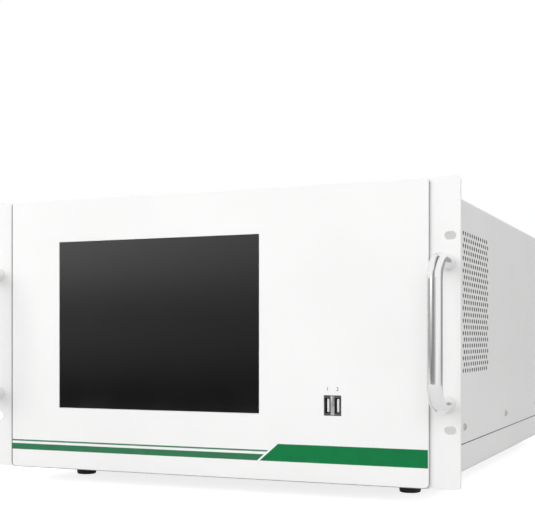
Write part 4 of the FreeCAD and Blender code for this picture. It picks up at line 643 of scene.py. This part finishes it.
stainless = new_finish("stainless_steel", (0.62, 0.62, 0.61), 0.28, 1.0)
vary_colour(stainless, grain(stainless, 90), (0.56, 0.56, 0.55), (0.67, 0.67, 0.66))
vary_roughness(stainless, grain(stainless, 500, (1, 0.05, 1)), 0.22, 0.36)


def threads(start, stop, crest, root, pitch):
    """The outline of a thread along a stub, as pairs of radius and height."""
    corners = []
    while start + pitch <= stop + weld:
        corners += [(root, start), (crest, start + 0.4 * pitch), (crest, start + 0.6 * pitch)]
        start += pitch
    return corners + [(root, start)]


def hex_nut(form, spot, way, flats, thickness):
    """A hexagon nut with its corners eased at both ends, from a spot along a way."""
    round_bar(form, spot, Vector(way) * thickness, flats / math.sqrt(3), 6)
    form.faces.ensure_lookup_table()
    ends = form.faces[-8:]
    rims = {rim for face in ends if len(face.verts) == 6 for rim in face.edges}
    bmesh.ops.bevel(form, geom=list(rims), offset=0.5 * mm, segments=2, profile=0.5,
                    affect="EDGES", material=-1)


fitting_low, fitting_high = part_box("gas_fittings")
fitting_z = (fitting_low.z + fitting_high.z) / 2
hex_flats = fitting_high.z - fitting_low.z
fitting_pitch = (fitting_high.x - fitting_low.x - 2 * hex_flats / math.sqrt(3)) / 3
first_fitting = fitting_low.x + hex_flats / math.sqrt(3)
hex_plate = 5.0 * mm
bore, stub, barrel = 1.65 * mm, 3.95 * mm, 4.5 * mm
thread_pitch, thread_depth = 1.4 * mm, 0.5 * mm
stub_end = fitting_high.y - rear_face
barrel_end = fitting_low.y - rear_face
outline = [(bore, barrel_end), (barrel, barrel_end), (barrel, 0), (stub - thread_depth, 0.5 * mm),
           *threads(hex_plate + 0.6 * mm, stub_end - thread_pitch, stub, stub - thread_depth,
                    thread_pitch),
           (stub - 0.9 * mm, stub_end), (bore + 0.7 * mm, stub_end), (bore, stub_end - 0.8 * mm),
           (bore, barrel_end)]
port_number_height, port_number_drop = 4.0 * mm, 7.0 * mm
fittings = bmesh.new()
for index in range(4):
    spot = (first_fitting + index * fitting_pitch, rear_face, fitting_z)
    turned(fittings, outline, 28, facing(spot, (0, 1, 0)))
    hex_nut(fittings, spot, (0, 1, 0), hex_flats, hex_plate)
    print_text("gas_port_numeral_%d" % (index + 1), str(index + 1), port_number_height,
               (spot[0], rear_face, fitting_low.z - port_number_drop), math.pi)
bmesh.ops.remove_doubles(fittings, verts=fittings.verts, dist=weld)
shown("threaded_gas_fittings", fittings, stainless,
      replaces=["gas_fittings"])


# Earth stud
# A stainless threaded stud through the rear panel, with a hexagon nut on each side of the sheet
# for the earth wires.

stud_low, stud_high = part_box("ground_stud")
stud_spot = ((stud_low.x + stud_high.x) / 2, rear_face, (stud_low.z + stud_high.z) / 2)
stud_end = stud_high.y - rear_face
stud_root = stud_low.y - rear_face
stud_flats = stud_high.z - stud_low.z
nut_height, inner_nut = 4.0 * mm, 6.0 * mm
stud = bmesh.new()
turned(stud, [(0, stud_root), (2.3 * mm, stud_root), (2.3 * mm, 3.9 * mm),
              *threads(nut_height, stud_end - 0.6 * mm, 2.5 * mm, 2.15 * mm, 0.8 * mm),
              (1.9 * mm, stud_end), (0, stud_end)], 24, facing(stud_spot, (0, 1, 0)))
for nut_y in (rear_face, rear_face - inner_nut):
    hex_nut(stud, (stud_spot[0], nut_y, stud_spot[2]), (0, 1, 0), stud_flats, nut_height)
shown("threaded_earth_stud", stud, stainless, replaces=["ground_stud"])


# Network and serial sockets
# A shielded jack with eight gilt springs in its mouth, and a nine-way socket with its black
# insulator, gilt contacts and two hexagon jack posts.

dress(socket_metal, "network_socket", "serial_socket")
jack_low, jack_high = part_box("network_socket")
jack_x, jack_z = (jack_low.x + jack_high.x) / 2, (jack_low.z + jack_high.z) / 2
spring_pitch, spring_half, spring_sunk, spring_length = 1.02 * mm, 0.18 * mm, 1.6 * mm, 9.4 * mm
spring_foot, spring_head = jack_z + 2.4 * mm, jack_z + 2.8 * mm
springs = bmesh.new()
for index in range(8):
    across = jack_x + (index - 3.5) * spring_pitch
    add_box(springs,
            (across - spring_half, jack_high.y - spring_sunk - spring_length, spring_foot),
            (across + spring_half, jack_high.y - spring_sunk, spring_head))
shown("jack_springs", springs, gilt)

plug_low, plug_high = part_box("serial_socket")
plug_x, plug_z = (plug_low.x + plug_high.x) / 2, (plug_low.z + plug_high.z) / 2
foot_half, head_half, face_half = 6.5 * mm, 7.7 * mm, 3.4 * mm
insulator_depth = 0.12 * mm
insulator = bmesh.new()
film(insulator, [(plug_x + across, plug_high.y, plug_z + up) for across, up in (
    (-foot_half, -face_half), (foot_half, -face_half), (head_half, face_half),
    (-head_half, face_half))], -insulator_depth)
shown("serial_insulator", insulator, black_plastic)
plug_pitch, row_rise = 2.77 * mm, 1.42 * mm
sleeve_bore, sleeve_radius, sleeve_depth = 0.3 * mm, 0.62 * mm, 0.2 * mm
plug_contacts = bmesh.new()
for count, up in ((5, row_rise), (4, -row_rise)):
    for index in range(count):
        spot = (plug_x + (index - (count - 1) / 2) * plug_pitch, plug_high.y, plug_z + up)
        turned(plug_contacts, [(sleeve_bore, 0), (sleeve_bore, sleeve_depth),
                               (sleeve_radius, sleeve_depth), (sleeve_radius, 0)],
               12, facing(spot, (0, 1, 0)))
shown("serial_contacts", plug_contacts, gilt)
post_across, post_proud, post_flats, post_height = 12.5 * mm, 1.0 * mm, 4.8 * mm, 4.5 * mm
posts = bmesh.new()
for side in (-1, 1):
    hex_nut(posts, (plug_x + side * post_across, rear_face + post_proud, plug_z), (0, 1, 0),
            post_flats, post_height)
shown("jack_posts", posts, nickel)


# Inner units
# The heated column in its insulated box, the mobility cell, valve, pump, gas supply and
# electronics, all inside the closed case. These solids stay as they are and only get finishes.

dress(black_plastic, "valve_actuator")
dress(zinc, "high_voltage_module", "power_supply", "board_standoffs")
dress(stainless, "fitting_nuts", "drift_tube_housing", "drift_rings", "ion_source",
      "transfer_line", "valve_body", "sample_loop", "pump_rotor")

wool = new_finish("mineral_wool", (0.78, 0.75, 0.66), 0.9)
vary_colour(wool, grain(wool, 200, (1, 1, 4)), (0.68, 0.64, 0.54), (0.85, 0.82, 0.74))
relief(wool, grain(wool, 700, (1, 1, 5)), 0.4 * mm)
ceramic = new_finish("ceramic_white", (0.86, 0.84, 0.78), 0.3)
vary_roughness(ceramic, grain(ceramic, 150), 0.24, 0.36)
copper = new_finish("copper_winding", (0.62, 0.38, 0.22), 0.35, 0.9)
vary_colour(copper, grain(copper, 900, (0.05, 0.05, 1)), (0.42, 0.24, 0.13), (0.7, 0.45, 0.27))
relief(copper, grain(copper, 1200, (0.02, 0.02, 1)), 0.2 * mm)
dress(aluminium, "oven_case", "oven_lid", "oven_heater", "column_spool", "amplifier_box",
      "tube_clamps", "valve_rotor", "pump_body", "gas_filters", "flow_manifold")
dress(wool, "oven_insulation")
dress(ceramic, "insulator_sleeve")
dress(copper, "column_coil")
dress(board, "main_board")


# Floor and backdrop
# A pale floor that keeps the soft shadow under the case. Camera rays see it glow, so that it runs
# out into the white of the world, and glossy rays see part of that glow.

floor_glow, glossy_share = 0.8, 0.35
floor_paint = new_finish("floor_paint", (0.5, 0.5, 0.5), 0.9)
nodes, links = floor_paint.node_tree.nodes, floor_paint.node_tree.links
seen = nodes.new("ShaderNodeLightPath")
glow = nodes.new("ShaderNodeEmission")
glow.inputs["Strength"].default_value = floor_glow
lit = nodes.new("ShaderNodeAddShader")
chosen = nodes.new("ShaderNodeMixShader")
share = reckon(floor_paint, "MULTIPLY_ADD", seen.outputs["Is Glossy Ray"], glossy_share,
               seen.outputs["Is Camera Ray"])
links.new(nodes["Principled BSDF"].outputs["BSDF"], lit.inputs[0])
links.new(glow.outputs["Emission"], lit.inputs[1])
links.new(share, chosen.inputs["Fac"])
links.new(nodes["Principled BSDF"].outputs["BSDF"], chosen.inputs[1])
links.new(lit.outputs["Shader"], chosen.inputs[2])
links.new(chosen.outputs["Shader"], nodes["Material Output"].inputs["Surface"])


def studio_sheet(name, corners, material):
    """A flat sheet of the studio, given by its corners."""
    form = bmesh.new()
    form.faces.new([form.verts.new(corner) for corner in corners])
    mesh = bpy.data.meshes.new(name)
    form.to_mesh(mesh)
    form.free()
    mesh.materials.append(material)
    sheet = bpy.data.objects.new(name, mesh)
    scene.collection.objects.link(sheet)
    return sheet


floor_near, floor_far, floor_side = -1.15, 16, 9
studio_sheet("floor", [(-floor_side, floor_near, 0), (floor_side, floor_near, 0),
                       (floor_side, floor_far, 0), (-floor_side, floor_far, 0)], floor_paint)

world = bpy.data.worlds.new("studio")
scene.world = world
world.use_nodes = True
nodes, links = world.node_tree.nodes, world.node_tree.links
plain = nodes["Background"]
plain.inputs["Color"].default_value = (1, 1, 1, 1)
place = nodes.new("ShaderNodeTexCoord")
apart = nodes.new("ShaderNodeSeparateXYZ")
climb = nodes.new("ShaderNodeMapRange")
for socket, value in (("From Min", -0.3), ("From Max", 0.3), ("To Min", 0.36), ("To Max", 0.96)):
    climb.inputs[socket].default_value = value
links.new(place.outputs["Generated"], apart.inputs["Vector"])
links.new(apart.outputs["Z"], climb.inputs["Value"])
links.new(climb.outputs["Result"], plain.inputs["Strength"])
bright = nodes.new("ShaderNodeBackground")
bright.inputs["Color"].default_value = (1, 1, 1, 1)
seen = nodes.new("ShaderNodeLightPath").outputs
chosen = nodes.new("ShaderNodeMixShader")
mirrored = reckon(world, "MAXIMUM", seen["Is Glossy Ray"], seen["Is Transmission Ray"])
links.new(reckon(world, "MAXIMUM", seen["Is Camera Ray"], mirrored), chosen.inputs["Fac"])
links.new(plain.outputs["Background"], chosen.inputs[1])
links.new(bright.outputs["Background"], chosen.inputs[2])
links.new(chosen.outputs["Shader"], nodes["World Output"].inputs["Surface"])


# Lamps and reflector cards
# Two broad soft lamps stand in front, to the left and to the right. The cards show in reflections
# alone, most of all in the screen and in the plated handles.

for name, power, size, spot in (("left_lamp", 15, 1.6, (-0.9, -2.1, 1.1)),
                               ("right_lamp", 7, 0.9, (0.85, -2.2, 0.8))):
    lamp_data = bpy.data.lights.new(name, "AREA")
    lamp_data.energy = power
    lamp_data.size = size
    lamp = bpy.data.objects.new(name, lamp_data)
    lamp.location = spot
    lamp.rotation_euler = (Vector((0, 0, 0.15)) - lamp.location).to_track_quat("-Z", "Y").to_euler()
    lamp.visible_glossy = False
    scene.collection.objects.link(lamp)


def reflector(name, corners, tones, sideways=None):
    """A card that only glossy rays see: its tone runs up the card, and its strength along X."""
    paint = bpy.data.materials.new(name)
    paint.use_nodes = True
    nodes, links = paint.node_tree.nodes, paint.node_tree.links
    nodes.remove(nodes["Principled BSDF"])
    glow = nodes.new("ShaderNodeEmission")
    spot = where(paint)
    foot, head = tones[0][0], tones[-1][0]
    climb = nodes.new("ShaderNodeMapRange")
    climb.inputs["From Min"].default_value = foot
    climb.inputs["From Max"].default_value = head
    links.new(spot["Z"], climb.inputs["Value"])
    fade = nodes.new("ShaderNodeValToRGB")
    fade.color_ramp.interpolation = "EASE"
    while len(fade.color_ramp.elements) < len(tones):
        fade.color_ramp.elements.new(0.5)
    for element, (level, tone) in zip(fade.color_ramp.elements, tones):
        element.position = (level - foot) / (head - foot)
        element.color = (tone, tone, tone, 1)
    links.new(climb.outputs["Result"], fade.inputs["Fac"])
    links.new(fade.outputs["Color"], glow.inputs["Color"])
    if sideways:
        drift = nodes.new("ShaderNodeMapRange")
        for socket, value in zip(("From Min", "From Max", "To Min", "To Max"), sideways):
            drift.inputs[socket].default_value = value
        links.new(spot["X"], drift.inputs["Value"])
        links.new(drift.outputs["Result"], glow.inputs["Strength"])
    links.new(glow.outputs["Emission"], nodes["Material Output"].inputs["Surface"])
    card = studio_sheet(name, corners, paint)
    card.visible_camera = False
    card.visible_diffuse = False
    card.visible_shadow = False
    card.visible_transmission = False


def upright(left, right, foot, head):
    """The corners of an upright card between two places on the floor."""
    return [(*left, foot), (*right, foot), (*right, head), (*left, head)]


card_foot, card_head, card_top, card_y = -0.3, 0.8, 2.0, -2.0
left_end, left_middle, right_middle, right_end = -1.75, -0.5, 0.55, 1.1
reflector("screen_card", upright((left_end, card_y), (left_middle, card_y), card_foot, 0.85),
          [(-0.06, 0.07), (0.19, 0.36), (0.44, 1.0)], (-1.303, -0.675, 1.85, 1.3))
reflector("front_card", upright((left_middle, card_y), (right_middle, card_y), card_foot, card_top),
          [(-0.1, 0.24), (0.6, 0.32)])
reflector("top_card", [(-1.2, card_y, card_top), (0.7, card_y, card_top), (0.7, 0.6, card_top),
                       (-1.2, 0.6, card_top)], [(-0.1, 0.5), (0.6, 0.5)], (-0.35, 0.3, 2.0, 0.35))
reflector("near_card", upright((right_middle, card_y), (right_end, -1.9), card_foot, card_head),
          [(-0.1, 0.55), (0.6, 0.7)])
reflector("right_card", upright((1.6, 0.1), (0.6, 2.2), card_foot, card_head),
          [(-0.1, 0.3), (0.6, 0.4)])
reflector("left_card", upright((-2.4, -0.25), (left_end, card_y), card_foot, 0.7),
          [(-0.1, 0.34), (0.6, 0.5)])


# Camera
# Level and turned to the left, with the lens shifted up, so that the front's edges stay upright as
# in the photograph.

camera_data = bpy.data.cameras.new("camera")
camera_data.lens = 72.0
camera_data.sensor_width = 36
camera_data.shift_y = 0.1413
camera = bpy.data.objects.new("camera", camera_data)
camera.location = (0.4454, -1.1849, 0.1418)
camera.rotation_euler = (math.radians(90), 0, math.radians(23.1))
scene.collection.objects.link(camera)
scene.camera = camera

scene.view_settings.view_transform = "Standard"
